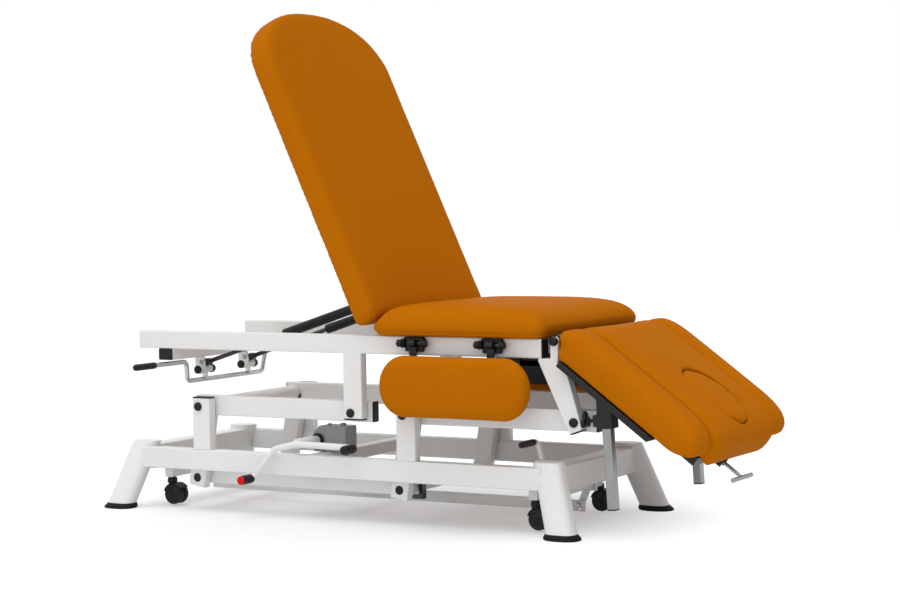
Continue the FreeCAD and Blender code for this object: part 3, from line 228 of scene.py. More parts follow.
@dataclass(frozen=True)
class Leather(Finish):
    """Synthetic leather: a pebbled grain of rounded cells over soft handling waves.

    Attributes:
        wave_mm: Width of the waves.
        wave_share: Height of the waves against the pebbles.
    """

    wave_mm: float = 45.0
    wave_share: float = 1.4

    def grain(self, tree: bpy.types.NodeTree, place: bpy.types.NodeSocket) -> bpy.types.NodeSocket:
        """Add pebbles: distance to the nearest cell middle, with a broad wave added.

        Args:
            tree: The tree of the material.
            place: Object coordinates.

        Returns:
            The height of the grain.
        """
        cells = add(tree, "ShaderNodeTexVoronoi", {"Vector": place, "Scale": 1 / (self.grain_mm * MM)},
                    feature="SMOOTH_F1")
        both = add(tree, "ShaderNodeMath", {0: noise(tree, place, self.wave_mm), 1: self.wave_share,
                                            2: cells.outputs["Distance"]}, operation="MULTIPLY_ADD")
        return both.outputs["Value"]


@dataclass(frozen=True)
class Plated(Finish):
    """Plated steel: fine draw marks, threefold longer along X and tenfold along Z."""

    metallic: float = 1.0
    stretch: Point = (0.3, 1.0, 0.1)


# Powder coat cures to a faint orange peel about two millimetres wide, satin white
WHITE = Finish("white_powder_coat", Slot.WHITE, "#E9E9E8", "#E3E3E2", 0.36, 2.0, 0.03, 180, edge_mm=2.5)
# Coated upholstery cloth: pebbled and nearly matt; pebbles are drawn twice their size so that they show
ORANGE = Leather("orange_synthetic_leather", Slot.ORANGE, "#BA6A08", "#B56605", 0.48, 2.2, 0.10, 260,
                 edge_mm=0.5, specular=0.005)
# Moulded ABS: fine spark-eroded texture, nearly black
PLASTIC = Finish("black_moulded_abs", Slot.PLASTIC, "#0E0E0F", "#141415", 0.42, 0.9, 0.03, 40, specular=0.25)
# Black enamel on boards and steel: smooth and satin
BLACK = Finish("black_satin_enamel", Slot.BLACK, "#121213", "#171717", 0.38, 1.6, 0.02, 90, specular=0.3)
# Zinc plate: grey metal with a soft mottle
ZINC = Plated("zinc_plated_steel", Slot.ZINC, "#9B9C9C", "#878888", 0.34, 1.2, 0.02, 30)
# Bright zinc on the bent rods: pale, with a soft gleam; the white-painted bracket plates get it too, as painted
# shade from the cross tube above them
BRIGHT = Plated("bright_zinc_rod", Slot.ZINC, "#C4C4C1", "#B2B2B0", 0.3, 1.0, 0.02, 30)
# Piston rods: ground and hard chromed
ROD = Plated("ground_piston_rod", Slot.ZINC, "#4A4A4B", "#3C3C3D", 0.22, 0.8, 0.01, 30)
# Grey hammered enamel on the pump casting
GREY = Finish("grey_casting_enamel", Slot.GREY, "#9A9B9C", "#8B8C8E", 0.45, 3.0, 0.08, 60, edge_mm=3.0)
# Rubber of the feet: matt, dusty black
RUBBER = Finish("black_foot_rubber", Slot.RUBBER, "#0F0F0F", "#171717", 0.72, 1.4, 0.05, 25, specular=0.2)
# Nylon castors: matt black with a worn tread
NYLON = Finish("black_castor_nylon", Slot.CASTOR, "#101010", "#191919", 0.5, 1.0, 0.04, 20, specular=0.25)
# Red polyethylene cap of the pump pedal
RED = Finish("red_polyethylene", Slot.PLASTIC, "#D80E14", "#C80B10", 0.4, 1.2, 0.03, 30, specular=0.15)


@dataclass
class Surface:
    """A mesh in the making.

    Attributes:
        points: Points in millimetres, one row each.
        quads: Four point numbers per row.
        caps: Point numbers of each many-sided end face.
    """

    points: np.ndarray
    quads: np.ndarray
    caps: list[np.ndarray]

    def __add__(self, other: "Surface") -> "Surface":
        """Join two surfaces.

        Args:
            other: The second surface.

        Returns:
            Both as one.
        """
        shift = len(self.points)
        return Surface(np.vstack((self.points, other.points)), np.vstack((self.quads, other.quads + shift)),
                       self.caps + [cap + shift for cap in other.caps])

    def at(self, points: np.ndarray) -> "Surface":
        """Put the same faces on other points.

        Args:
            points: The new points, in the same order.

        Returns:
            The new surface.
        """
        return Surface(points, self.quads, self.caps)

    def turned(self, angle: float) -> "Surface":
        """Turn the surface about the Y axis, where a positive angle lowers the +X side.

        Args:
            angle: Turn in degrees.

        Returns:
            The turned copy.
        """
        c, s = math.cos(math.radians(angle)), math.sin(math.radians(angle))
        x, y, z = self.points.T
        return self.at(np.stack((x * c + z * s, y, z * c - x * s), -1))

    def mirrored(self, axis: int = 1) -> "Surface":
        """Mirror the surface in a middle plane of the table.

        Args:
            axis: Axis that changes sign, across the table unless given.

        Returns:
            The mirrored copy.
        """
        sign = 1 - 2 * np.eye(3)[axis]
        return Surface(self.points * sign, self.quads[:, ::-1], [cap[::-1] for cap in self.caps])

    def on(self, sign: float) -> "Surface":
        """Put a near-side surface on one side of the table.

        Args:
            sign: Minus one for the near side, one for the far side.

        Returns:
            The surface or its mirror image.
        """
        return self if sign < 0 else self.mirrored()


def joined(surfaces: Iterable[Surface]) -> Surface:
    """Join surfaces.

    Args:
        surfaces: At least one surface.

    Returns:
        All of them as one.
    """
    return reduce(Surface.__add__, surfaces)


def both_sides(surface: Surface) -> Surface:
    """Join a near-side surface and its mirror image.

    Args:
        surface: The near-side surface.

    Returns:
        Both sides as one.
    """
    return surface + surface.mirrored()


def around(count: int) -> np.ndarray:
    """Space angles evenly round a circle.

    Args:
        count: Number of angles.

    Returns:
        The angles from zero on.
    """
    return np.linspace(0, 2 * np.pi, count, endpoint=False)


def ringed(rings: np.ndarray) -> Surface:
    """Close a stack of rings into a solid: neighbouring rings are joined by quads, the ends are capped.

    Args:
        rings: Points by ring, place on the ring and coordinate.

    Returns:
        The closed surface.
    """
    rows, columns = rings.shape[:2]
    row = np.arange(rows - 1)[:, None] * columns
    here = np.arange(columns)[None, :]
    there = (here + 1) % columns
    quads = np.stack((row + here, row + there, row + columns + there, row + columns + here), -1).reshape(-1, 4)
    ends = [np.arange(columns)[::-1], np.arange(columns) + (rows - 1) * columns]
    return Surface(rings.reshape(-1, 3), quads, ends)


def stacked(x: np.ndarray, y: np.ndarray, z: np.ndarray) -> Surface:
    """Close rings that are given by coordinate, each by ring and place on the ring.

    Args:
        x: Along the table.
        y: Across it.
        z: Upward.

    Returns:
        The closed surface.
    """
    return ringed(np.stack(np.broadcast_arrays(x, y, z), -1))


def rounded_section(wide: float, tall: float, radius: float, steps: int = 4) -> np.ndarray:
    """Outline of a rounded rectangle: four quarter circles about the corner middles.

    Args:
        wide: Full width.
        tall: Full height.
        radius: Corner radius.
        steps: Parts of each quarter circle.

    Returns:
        Outline points, two columns.
    """
    angle = np.arange(4)[:, None] * np.pi / 2 + np.linspace(0, np.pi / 2, steps + 1)[None, :]
    x_sign = np.array((1, -1, -1, 1))[:, None]
    y_sign = np.array((1, 1, -1, -1))[:, None]
    x = x_sign * (wide / 2 - radius) + radius * np.cos(angle)
    y = y_sign * (tall / 2 - radius) + radius * np.sin(angle)
    return np.stack((x.ravel(), y.ravel()), -1)


def unit(vector: np.ndarray) -> np.ndarray:
    """Scale vectors to length one along the last axis.

    Args:
        vector: One vector or rows of them.

    Returns:
        The scaled vectors.
    """
    vector = np.asarray(vector, float)
    return vector / np.linalg.norm(vector, axis=-1, keepdims=True)


def bar(start: Point, end: Point, across: np.ndarray, wide: float, tall: float, edge: float = 4.0,
        end_round: float = 0.8) -> Surface:
    """A straight rectangular tube: a rounded section carried from start to end, drawn in a little at the ends.

    Args:
        start: Middle of the first end.
        end: Middle of the last end.
        across: Direction of the width.
        wide: Size along that direction.
        tall: Size square to it.
        edge: Radius of the long edges.
        end_round: Chamfer of the ends.

    Returns:
        The closed surface.
    """
    start, end = np.array(start, float), np.array(end, float)
    along = unit(end - start)
    across = unit(across)
    up = np.cross(along, across)
    full = rounded_section(wide, tall, edge)
    small = rounded_section(wide - 2 * end_round, tall - 2 * end_round, max(edge - end_round, 0.3))
    sections = np.stack((small, full, full, small))
    path = np.stack((start, start + along * end_round, end - along * end_round, end))
    return ringed(path[:, None] + sections[..., :1] * across + sections[..., 1:] * up)


def bent_path(points: list[Point], bend: float, steps: int = 8) -> np.ndarray:
    """Straight runs joined by arcs of one radius, each tangent to its two runs.

    Args:
        points: Corners of the path.
        bend: Radius of the arcs.
        steps: Parts of each arc.

    Returns:
        Path points.
    """
    corners = np.array(points, float)
    path = [corners[:1]]
    for before, corner, after in zip(corners, corners[1:], corners[2:]):
        back, onward = unit(before - corner), unit(after - corner)
        half = math.acos(np.clip(back @ onward, -1, 1)) / 2
        middle = corner + unit(back + onward) * bend / math.sin(half)
        first = corner + back * bend / math.tan(half) - middle
        last = corner + onward * bend / math.tan(half) - middle
        sweep = math.pi - 2 * half
        share = np.linspace(0, 1, steps + 1)[:, None]
        arc = (first * np.sin((1 - share) * sweep) + last * np.sin(share * sweep)) / math.sin(sweep)
        path.append(middle + arc)
    path.append(corners[-1:])
    return np.vstack(path)


def round_bar(points: list[Point], radius: float, bend: float = 0.0, sides: int = 24) -> Surface:
    """A round rod along a bent path, with slightly domed ends.

    The circle is carried along the path on normals that turn as little as possible from point to point.

    Args:
        points: Corners of the path.
        radius: Radius of the rod.
        bend: Radius of the path's bends.
        sides: Points round the rod.

    Returns:
        The closed surface.
    """
    path = bent_path(points, bend) if len(points) > 2 else np.array(points, float)
    along = unit(np.diff(path, axis=0))
    inset = radius * DOMED
    ends = np.vstack((path[:1], path[:1] + along[:1] * inset, path[1:-1], path[-1:] - along[-1:] * inset,
                      path[-1:]))
    tangent = unit(np.gradient(ends, axis=0))
    normal = unit(np.cross(tangent[0], ASKEW_ROD))
    normals = []
    for direction in tangent:
        normal = unit(normal - direction * (normal @ direction))
        normals.append(normal)
    first = np.array(normals)
    second = np.cross(tangent, first)
    angle = around(sides)
    # The sizes take their type from the radius, so a whole radius gives whole end radii, rounded down
    size = np.full(len(ends), radius)
    size[[0, -1]] = radius - inset
    circle = np.cos(angle)[None, :, None] * first[:, None] + np.sin(angle)[None, :, None] * second[:, None]
    return ringed(ends[:, None] + circle * size[:, None, None])


def turned_form(profile: Iterable[Pair], origin: Point, axis: np.ndarray, sides: int = 48) -> Surface:
    """A form turned on an axis: each profile point (radius, distance along) becomes a circle.

    Args:
        profile: Radius and distance along the axis.
        origin: Start of the axis.
        axis: Direction of the axis.
        sides: Points round the axis.

    Returns:
        The closed surface.
    """
    shape = np.array(profile, float)
    axis = unit(axis)
    first = unit(np.cross(axis, ASKEW_TURNED))
    second = np.cross(axis, first)
    angle = around(sides)
    circle = np.cos(angle)[:, None] * first + np.sin(angle)[:, None] * second
    return ringed(np.array(origin, float) + shape[:, 1, None, None] * axis + shape[:, 0, None, None] * circle)


def plate_form(outline: Iterable[Pair], low: float, high: float, corner: float, edge: float) -> Surface:
    """A flat plate in the XZ plane with round corners and softened rims.

    Each corner becomes a curve of seven points between its tangent points, (1 - s)^2 first + 2 s (1 - s) corner
    + s^2 last; the rims are drawn in along the outline's normals.

    Args:
        outline: Corners (x, z), in order.
        low: Lower Y.
        high: Upper Y.
        corner: Radius of the corners.
        edge: Rounding of the rims.

    Returns:
        The closed surface.
    """
    corners = np.array(outline, float)
    back = unit(np.roll(corners, 1, 0) - corners)
    onward = unit(np.roll(corners, -1, 0) - corners)
    half = np.arccos(np.clip((back * onward).sum(-1), -1, 1))[:, None] / 2
    reach = corner / np.tan(half)
    share = np.linspace(0, 1, CORNER_POINTS)[None, :, None]
    first, last = corners + back * reach, corners + onward * reach
    ring = ((1 - share) ** 2 * first[:, None] + 2 * share * (1 - share) * corners[:, None]
            + share ** 2 * last[:, None]).reshape(-1, 2)
    tangent = unit(np.roll(ring, -1, 0) - np.roll(ring, 1, 0))
    area = np.cross(ring, np.roll(ring, -1, 0)).sum()
    outward = np.stack((tangent[:, 1], -tangent[:, 0]), -1) * np.sign(area)
    rim = edge * 0.3
    levels = np.array(((low, edge), (low + rim, rim), (low + edge, 0), (high - edge, 0), (high - rim, rim),
                       (high, edge)))
    flat = ring[None] - outward[None] * levels[:, 1, None, None]
    return stacked(flat[..., 0], levels[:, :1], flat[..., 1])


def attach(name: str, mesh: bpy.types.Mesh, body: str, stands_for: tuple[str, ...]
           ) -> bpy.types.Object:
    """Put a mesh into the scene as a piece that rides on a body.

    Args:
        name: Name of the piece.
        mesh: Its mesh, with its material.
        body: Body that it moves with.
        stands_for: Solids that it replaces.

    Returns:
        The new object.
    """
    piece = bpy.data.objects.new(name, mesh)
    bpy.context.scene.collection.objects.link(piece)
    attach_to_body(piece, body)
    if stands_for:
        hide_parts(*stands_for)
    log.info("%s: %d points on %s", name, len(mesh.vertices), body)
    return piece


def make(name: str, surface: Surface, finish: Finish, body: str, stands_for: tuple[str, ...] = ()
         ) -> bpy.types.Object:
    """Make a piece from a surface, smooth but for its sharp edges.

    Args:
        name: Name of the piece.
        surface: Its closed surface.
        finish: Its finish.
        body: Body that it moves with.
        stands_for: Solids that it replaces.

    Returns:
        The new object.
    """
    mesh = bpy.data.meshes.new(name)
    faces = surface.quads.tolist() + [cap.tolist() for cap in surface.caps]
    mesh.from_pydata(((surface.points + BASE) * MM).tolist(), [], faces)
    work = bmesh.new()
    work.from_mesh(mesh)
    bmesh.ops.remove_doubles(work, verts=work.verts, dist=1e-6)
    bmesh.ops.recalc_face_normals(work, faces=work.faces)
    work.to_mesh(mesh)
    work.free()
    mesh.shade_smooth()
    mesh.set_sharp_from_angle(angle=CREASE)
    mesh.materials.append(finish.material())
    piece = attach(name, mesh, body, stands_for)
    even = piece.modifiers.new("even_faces", "WEIGHTED_NORMAL")
    even.keep_sharp = True
    return piece


def dress(finish: Finish, *nodes: str) -> None:
    """Give solids that stay in view their finish.

    Args:
        finish: The finish.
        *nodes: Names of the solids.
    """
    for name in nodes:
        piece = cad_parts[name]
        piece.data.materials.clear()
        piece.data.materials.append(finish.material())


def dome(radius: float, tall: float) -> list[Pair]:
    """Profile of a low domed cap: flat side at zero, rounded shoulder, shallow crown.

    Args:
        radius: Radius of the cap.
        tall: Height of the crown.

    Returns:
        Radius and height of each profile point.
    """
    shares = ((1, 0), (1, 0.45), (0.9, 0.75), (0.65, 0.93))
    return [(CLOSED, 0), *((radius * wide, tall * up) for wide, up in shares), (CLOSED, tall)]


def grip_profile(radius: float, long: float, rings: int) -> list[Pair]:
    """Profile of a foot grip with round ends: its radius dips by a tenth, as a cosine, at every ring.

    Args:
        radius: Largest radius.
        long: Length of the grip.
        rings: Number of shallow rings.

    Returns:
        Radius and distance along the grip.
    """
    share = np.linspace(0, 1, 12 * rings)
    wave = radius - 0.05 * radius * (1 - np.cos(2 * np.pi * rings * share))
    ends = np.sqrt(np.clip(1 - np.abs(2 * share - 1) ** 14, 0, 1))
    return list(zip((wave * (0.55 + 0.45 * ends)).tolist(), (share * long).tolist()))


def coordinates(mesh: bpy.types.Mesh) -> np.ndarray:
    """Read the points of a mesh.

    Args:
        mesh: The mesh.

    Returns:
        One row for each point.
    """
    flat = np.empty(len(mesh.vertices) * 3)
    mesh.vertices.foreach_get("co", flat)
    return flat.reshape(-1, 3)


def set_coordinates(mesh: bpy.types.Mesh, points: np.ndarray) -> None:
    """Write the points of a mesh.

    Args:
        mesh: The mesh.
        points: One row for each point.
    """
    mesh.vertices.foreach_set("co", points.ravel())
    mesh.update()


class Fill(Enum):
    """How full a padded piece is."""

    FIRM = 0.9
    SOFT = 0.8


@dataclass
class Padding:
    """Makes padded pieces: a drawn-in closed form, remeshed and swollen under its cover.

    Attributes:
        voxel: Mesh size of the cover.
        pressure: Pressure under the cover.
        swell: Furthest that a point of the cover may move.
        stiffness: Stiffness of the cover when pulled or pushed.
        bending: Stiffness of the cover when bent.
        frames: Frames of the simulation.
    """

    voxel: float = 7.0
    pressure: float = 4.0
    swell: float = 3.0
    stiffness: float = 25.0
    bending: float = 1.5
    frames: int = 20

    def form(self, low: Pair, high: Pair, corner: float, levels: np.ndarray, steps: int = 10) -> Surface:
        """A padded block: rounded rectangles stacked by level, closing to a crown in the middle.

        Every level gives a height and how far the four sides are drawn in; the outline at that level is four
        quarter circles about its corner middles, wider where both sides of a corner are drawn in.

        Args:
            low: Lowest corner (x, y).
            high: Highest corner (x, y).
            corner: Corner radius of the widest outline.
            levels: Rows of height and of the insets at low Y, high Y, low X and high X.
            steps: Parts of each corner.

        Returns:
            The closed surface, with height along Z.
        """
        near, far, first, last = (levels[:, i, None, None] for i in range(1, 5))
        x0, x1 = low[0] + first, high[0] - last
        y0, y1 = low[1] + near, high[1] - far
        both = np.minimum(np.concatenate((far, far, near, near), 1), np.concatenate((last, first, first, last), 1))
        radius = np.minimum(corner + 0.4 * both, 0.49 * np.minimum(x1 - x0, y1 - y0))
        angle = np.arange(4)[None, :, None] * np.pi / 2 + np.linspace(0, np.pi / 2, steps + 1)[None, None, :]
        right = np.array((True, False, False, True))[None, :, None]
        upper = np.array((True, True, False, False))[None, :, None]
        x = np.where(right, x1 - radius, x0 + radius) + radius * np.cos(angle)
        y = np.where(upper, y1 - radius, y0 + radius) + radius * np.sin(angle)
        rows = len(levels)
        return stacked(x.reshape(rows, -1), y.reshape(rows, -1), levels[:, :1])

    def cover(self, name: str, surface: Surface, body: str, stands_for: tuple[str, ...],
              fill: Fill = Fill.FIRM) -> bpy.types.Object:
        """Make the padded piece: remesh, swell by cloth simulation, cap the movement.

        Args:
            name: Name of the piece.
            surface: The drawn-in form.
            body: Body that it moves with.
            stands_for: Solids that it replaces.
            fill: How full it is; not used.

        Returns:
            The padded object.
        """
        piece = make(name, surface, ORANGE, body, stands_for)
        piece.modifiers.clear()
        remesh = piece.modifiers.new("cover", "REMESH")
        remesh.mode = "VOXEL"
        remesh.voxel_size = self.voxel * MM
        remesh.use_smooth_shade = True
        self.settle(piece)
        self.inflate(piece)
        return piece

    def press(self, piece: bpy.types.Object, distance: np.ndarray, width: float, depth: float) -> None:
        """Press a seam into a cover: each point moves in along its normal by depth * exp(-(distance / width)^2).

        Args:
            piece: The padded piece.
            distance: Distance of each point to the seam.
            width: Width of the seam's valley.
            depth: Depth of the valley.
        """
        mesh = piece.data
        normals = np.empty(len(mesh.vertices) * 3)
        mesh.vertex_normals.foreach_get("vector", normals)
        drop = depth * MM * np.exp(-(distance / width) ** 2)
        set_coordinates(mesh, coordinates(mesh) - normals.reshape(-1, 3) * drop[:, None])

    def settle(self, piece: bpy.types.Object) -> None:
        """Apply all modifiers of a piece to its mesh.

        Args:
            piece: The piece.
        """
        graph = bpy.context.evaluated_depsgraph_get()
        mesh = bpy.data.meshes.new_from_object(piece.evaluated_get(graph))
        old = piece.data
        piece.modifiers.clear()
        piece.data = mesh
        bpy.data.meshes.remove(old)
        mesh.name = piece.name
        mesh.shade_smooth()
        if not mesh.materials:
            mesh.materials.append(ORANGE.material())

    def inflate(self, piece: bpy.types.Object) -> None:
        """Swell a cover by pressure, limit each point's move to swell * tanh(move / swell), subdivide once.

        Args:
            piece: The padded piece.
        """
        rest = coordinates(piece.data)
        cloth = piece.modifiers.new("swell", "CLOTH")
        cloth.settings.use_pressure = True
        cloth.settings.uniform_pressure_force = self.pressure
        cloth.settings.effector_weights.gravity = 0
        cloth.settings.quality = 4
        cloth.settings.tension_stiffness = self.stiffness
        cloth.settings.compression_stiffness = self.stiffness
        cloth.settings.bending_stiffness = self.bending
        cloth.point_cache.frame_start = 1
        cloth.point_cache.frame_end = self.frames
        scene = bpy.context.scene
        for step in range(1, self.frames + 1):
            scene.frame_set(step)
        self.settle(piece)
        scene.frame_set(1)
        moved = coordinates(piece.data) - rest
        length = np.linalg.norm(moved, axis=1, keepdims=True)
        cap = self.swell * MM
        limited = moved * (cap * np.tanh(length / cap) / np.maximum(length, 1e-9))
        set_coordinates(piece.data, rest + limited)
        finer = piece.modifiers.new("finer", "SUBSURF")
        finer.levels = finer.render_levels = 1
        self.settle(piece)


def twin_of(piece: bpy.types.Object, name: str, body: str, stands_for: tuple[str, ...]) -> None:
    """Make the far-side twin of a padded near-side piece, mirrored in the table's middle plane.

    Args:
        piece: The near piece.
        name: Name of the twin.
        body: Body of the twin.
        stands_for: Solids that it replaces.
    """
    mesh = piece.data.copy()
    points = coordinates(mesh)
    points[:, 1] = 2 * BASE[1] * MM - points[:, 1]
    set_coordinates(mesh, points)
    mesh.flip_normals()
    mesh.name = name
    attach(name, mesh, body, stands_for)


@dataclass
class BaseFrame:
    """Legs, feet, beams and posts that stand on the floor; legs and feet are rows of height, length, width."""

    foot: Pair = (723, 293)
    joint: Pair = (661.5, 242.5)
    joint_z: float = 186
    legs: Rows = ((13, 84, 60), (60, 84, 60), (120, 84, 60), (192, 84, 60), (193.4, 83, 59), (194, 80, 56))
    leg_power: float = 2.6
    feet: Rows = ((0, 97, 71), (1.2, 101, 75), (4.6, 102, 76), (5.4, 99, 73), (6.4, 99, 73), (7.2, 101, 75),
                  (10, 95, 70), (14, 89.5, 65.5), (15, 88, 64), (15.2, 84.5, 60.5))
    foot_power: float = 2.3
    beam_end: float = 654
    beam_z: float = 150.5
    beam_tall: float = 60
    # Place along the table, half length, height, and section of each cross beam
    crosses: Rows = ((661.5, 238, 147, 60, 70), (-661.5, 238, 147, 60, 70), (-70, 245, 163, 40, 35))
    posts_x: Pair = (-435.6, 245.4)
    post_z: Pair = (180, 331)
    cap: float = 4

    def ovals(self, rows: Rows, power: float) -> Surface:
        """Ovals stacked on the slanted middle line of each leg: |x/a|^p + |y/b|^p = 1 at every level.

        Args:
            rows: Height, length and width of each oval.
            power: Squareness of the oval.

        Returns:
            The four corners together.
        """
        levels = np.array(rows)
        angle = around(56)
        x, y = (np.sign(wave) * np.abs(wave) ** (2 / power) for wave in (np.cos(angle), np.sin(angle)))
        z, long, wide = (levels[:, i, None] for i in range(3))
        share = z / self.joint_z
        middle_x, middle_y = (low + (high - low) * share for low, high in zip(self.foot, self.joint))
        corner = stacked(middle_x + x * long / 2, middle_y + y * wide / 2, z)
        return both_sides(corner + corner.mirrored(0))

    def build(self) -> None:
        """Make the standing parts."""
        make("leg_tubes", self.ovals(self.legs, self.leg_power), WHITE, "base", ("legs",))
        make("foot_pads", self.ovals(self.feet, self.foot_power), RUBBER, "base", ("rubber_feet",))
        y = OUTER - BEAM_DEEP / 2
        side = bar((-self.beam_end, -y, self.beam_z), (self.beam_end, -y, self.beam_z), Y_AXIS, BEAM_DEEP,
                   self.beam_tall)
        make("base_side_tubes", both_sides(side), WHITE, "base", ("base_side_beams",))
        cross = joined(bar((x, -half, z), (x, half, z), X_AXIS, *size) for x, half, z, *size in self.crosses)
        make("base_cross_tubes", cross, WHITE, "base", ("base_cross_beams",))
        self.posts()
        dress(WHITE, "castor_brackets")

    def posts(self) -> None:
        """Make the lower posts with their caps and bolts."""
        y = OUTER - TUBE[1] / 2
        low, top = self.post_z
        seam = top - self.cap
        tubes = joined(bar((x, -y, low), (x, -y, seam), X_AXIS, *TUBE) for x in self.posts_x)
        caps = joined(bar((x, -y, seam), (x, -y, top), X_AXIS, *TUBE, end_round=1.5) for x in self.posts_x)
        bolts = joined(turned_form(dome(BOLT, 7), (x, -OUTER, PIVOT_Z), -Y_AXIS) for x in PIVOTS_X)
        make("lower_post_tubes", both_sides(tubes), WHITE, "base", ("lower_posts",))
        make("lower_post_plugs", both_sides(caps), PLASTIC, "base", ("lower_post_caps",))
        make("base_bolt_caps", both_sides(bolts), PLASTIC, "base", ("base_pivot_bolts",))


@dataclass
class LiftLinkage:
    """Levers, cross tubes and connecting bars that raise the top frame."""

    arm_y: float = 227
    arm_z: float = PIVOT_Z + 1
    arm: Pair = (30, 57)
    tail: float = 30
    tip: float = 566
    plug: float = 3
    tail_plug: float = 2.5
    drop: float = 212.5
    lean: float = 9.6
    leg: Pair = (30, 55)
    leg_over: float = 25
    tube_half: float = 212
    tube: float = 21
    link_y: float = 202.5
    link: Pair = (15, 36)
    link_over: float = 18
    link_tube: float = 15
    link_tube_half: float = 196
    bolt_y: float = 242

    def level(self, first: float, last: float, end_round: float = 0.8) -> Surface:
        """A run of the near level arm.

        Args:
            first: Its first end along the table.
            last: Its last end.
            end_round: Chamfer of the ends.

        Returns:
            The closed surface.
        """
        return bar((first, -self.arm_y, self.arm_z), (last, -self.arm_y, self.arm_z), Y_AXIS, *self.arm,
                   end_round=end_round)

    def build(self) -> None:
        """Make levers and bars."""
        lean = math.radians(self.lean)
        down = np.array((-math.sin(lean), 0, -math.cos(lean)))
        low_x, low_z = self.drop * down[0], PIVOT_Z + self.drop * down[2]
        for end, x in zip(("left", "right"), PIVOTS_X):
            heel, tip = x - self.tail, x + self.tip
            start = np.array((x, -self.arm_y, PIVOT_Z))
            leg = bar(start, start + down * (self.drop + self.leg_over), Y_AXIS, *self.leg)
            tube = round_bar([(x, -self.tube_half, PIVOT_Z), (x, self.tube_half, PIVOT_Z)], self.tube, sides=40)
            make(f"lever_{end}", both_sides(self.level(heel, tip - self.plug) + leg) + tube, WHITE,
                 f"{end}_lever", (f"lift_levers_{end}",))
            plugs = self.level(tip - self.plug, tip, 1.2) + self.level(heel - self.tail_plug, heel, 1.0)
            make(f"lever_plugs_{end}", both_sides(plugs), PLASTIC, f"{end}_lever")
        ends = [x + low_x for x in PIVOTS_X]
        bolts = joined(turned_form(dome(BOLT, 2), (x, -self.bolt_y, low_z), -Y_AXIS) for x in ends)
        make("link_bolt_caps", both_sides(bolts), PLASTIC, "connecting", ("link_bolts",))
        bars = both_sides(bar((ends[0] - self.link_over, -self.link_y, low_z),
                              (ends[1] + self.link_over, -self.link_y, low_z), Y_AXIS, *self.link, 3))
        half = self.link_tube_half
        bars += joined(round_bar([(x, -half, low_z), (x, half, low_z)], self.link_tube, sides=32) for x in ends)
        make("connecting_tubes", bars, WHITE, "connecting", ("connecting_bars",))
        dress(ROD, "ram_rod")


@dataclass
class PumpUnit:
    """Hydraulic pump with its rocking pedal."""

    casting: Rows = ((-112, 180.5), (-4, 180.5), (-4, 254), (-92, 254), (-112, 234))
    casting_y: Pair = (-190, -130)
    # Place along the table, radius and height of the two screws on the casting
    screws: Rows = ((-30, 9, 8), (-75, 6, 5))
    seal: Rows = ((11.5, 0), (17, 0), (19, 2), (19, 8), (17, 10), (11.5, 10))
    shaft: Pair = (-94, 214)
    boss: Rows = ((CLOSED, 0), (10, 0), (10, 8), (13, 10), (14, 40), (14, 108), (12, 112), (CLOSED, 112))
    pedal_y: float = -302
    tread: float = 58
    rod: float = 9
    knee: Pair = (-167, 196)
    low_grip: Pair = (-240, 112)
    high_grip: Pair = (100, 211)

    def build(self) -> None:
        """Make pump, pedal and grips."""
        face, back = self.casting_y
        top = self.casting[2][1]
        body = plate_form(self.casting, face, back, 6, 3)
        body += joined(turned_form(dome(radius, tall), (x, (face + back) / 2, top), Z_AXIS)
                       for x, radius, tall in self.screws)
        make("pump_casting", body, GREY, "base", ("pump_housing",))
        x, z = self.shaft
        make("pump_seal_ring", turned_form(self.seal, (x, face, z), -Y_AXIS), PLASTIC, "base")
        dress(GREY, "ram_cylinder")
        y, near = self.pedal_y, self.pedal_y - self.tread
        (low_x, low_z), (high_x, high_z) = self.low_grip, self.high_grip
        rod = round_bar([(low_x, near, low_z), (low_x, y, low_z), (self.knee[0], y, self.knee[1]), (x, y, z),
                         (high_x, y, high_z), (high_x, near, high_z)], self.rod, 22)
        rod += turned_form(self.boss, (x, face - 0.5, z), -Y_AXIS)
        make("pump_pedal_rod", rod, WHITE, "pump_pedal", ("pump_pedal",))
        grips = joined(turned_form(grip_profile(13, 54, 5), (place[0], near - 4, place[1]), Y_AXIS)
                       for place in (self.low_grip, self.high_grip))
        make("pump_foot_grips", grips, PLASTIC, "pump_pedal", ("pump_pedal_grips",))
        tip = turned_form(dome(12, 5), (low_x, near - 2.5, low_z), -Y_AXIS)
        make("pump_grip_tip", tip, RED, "pump_pedal")


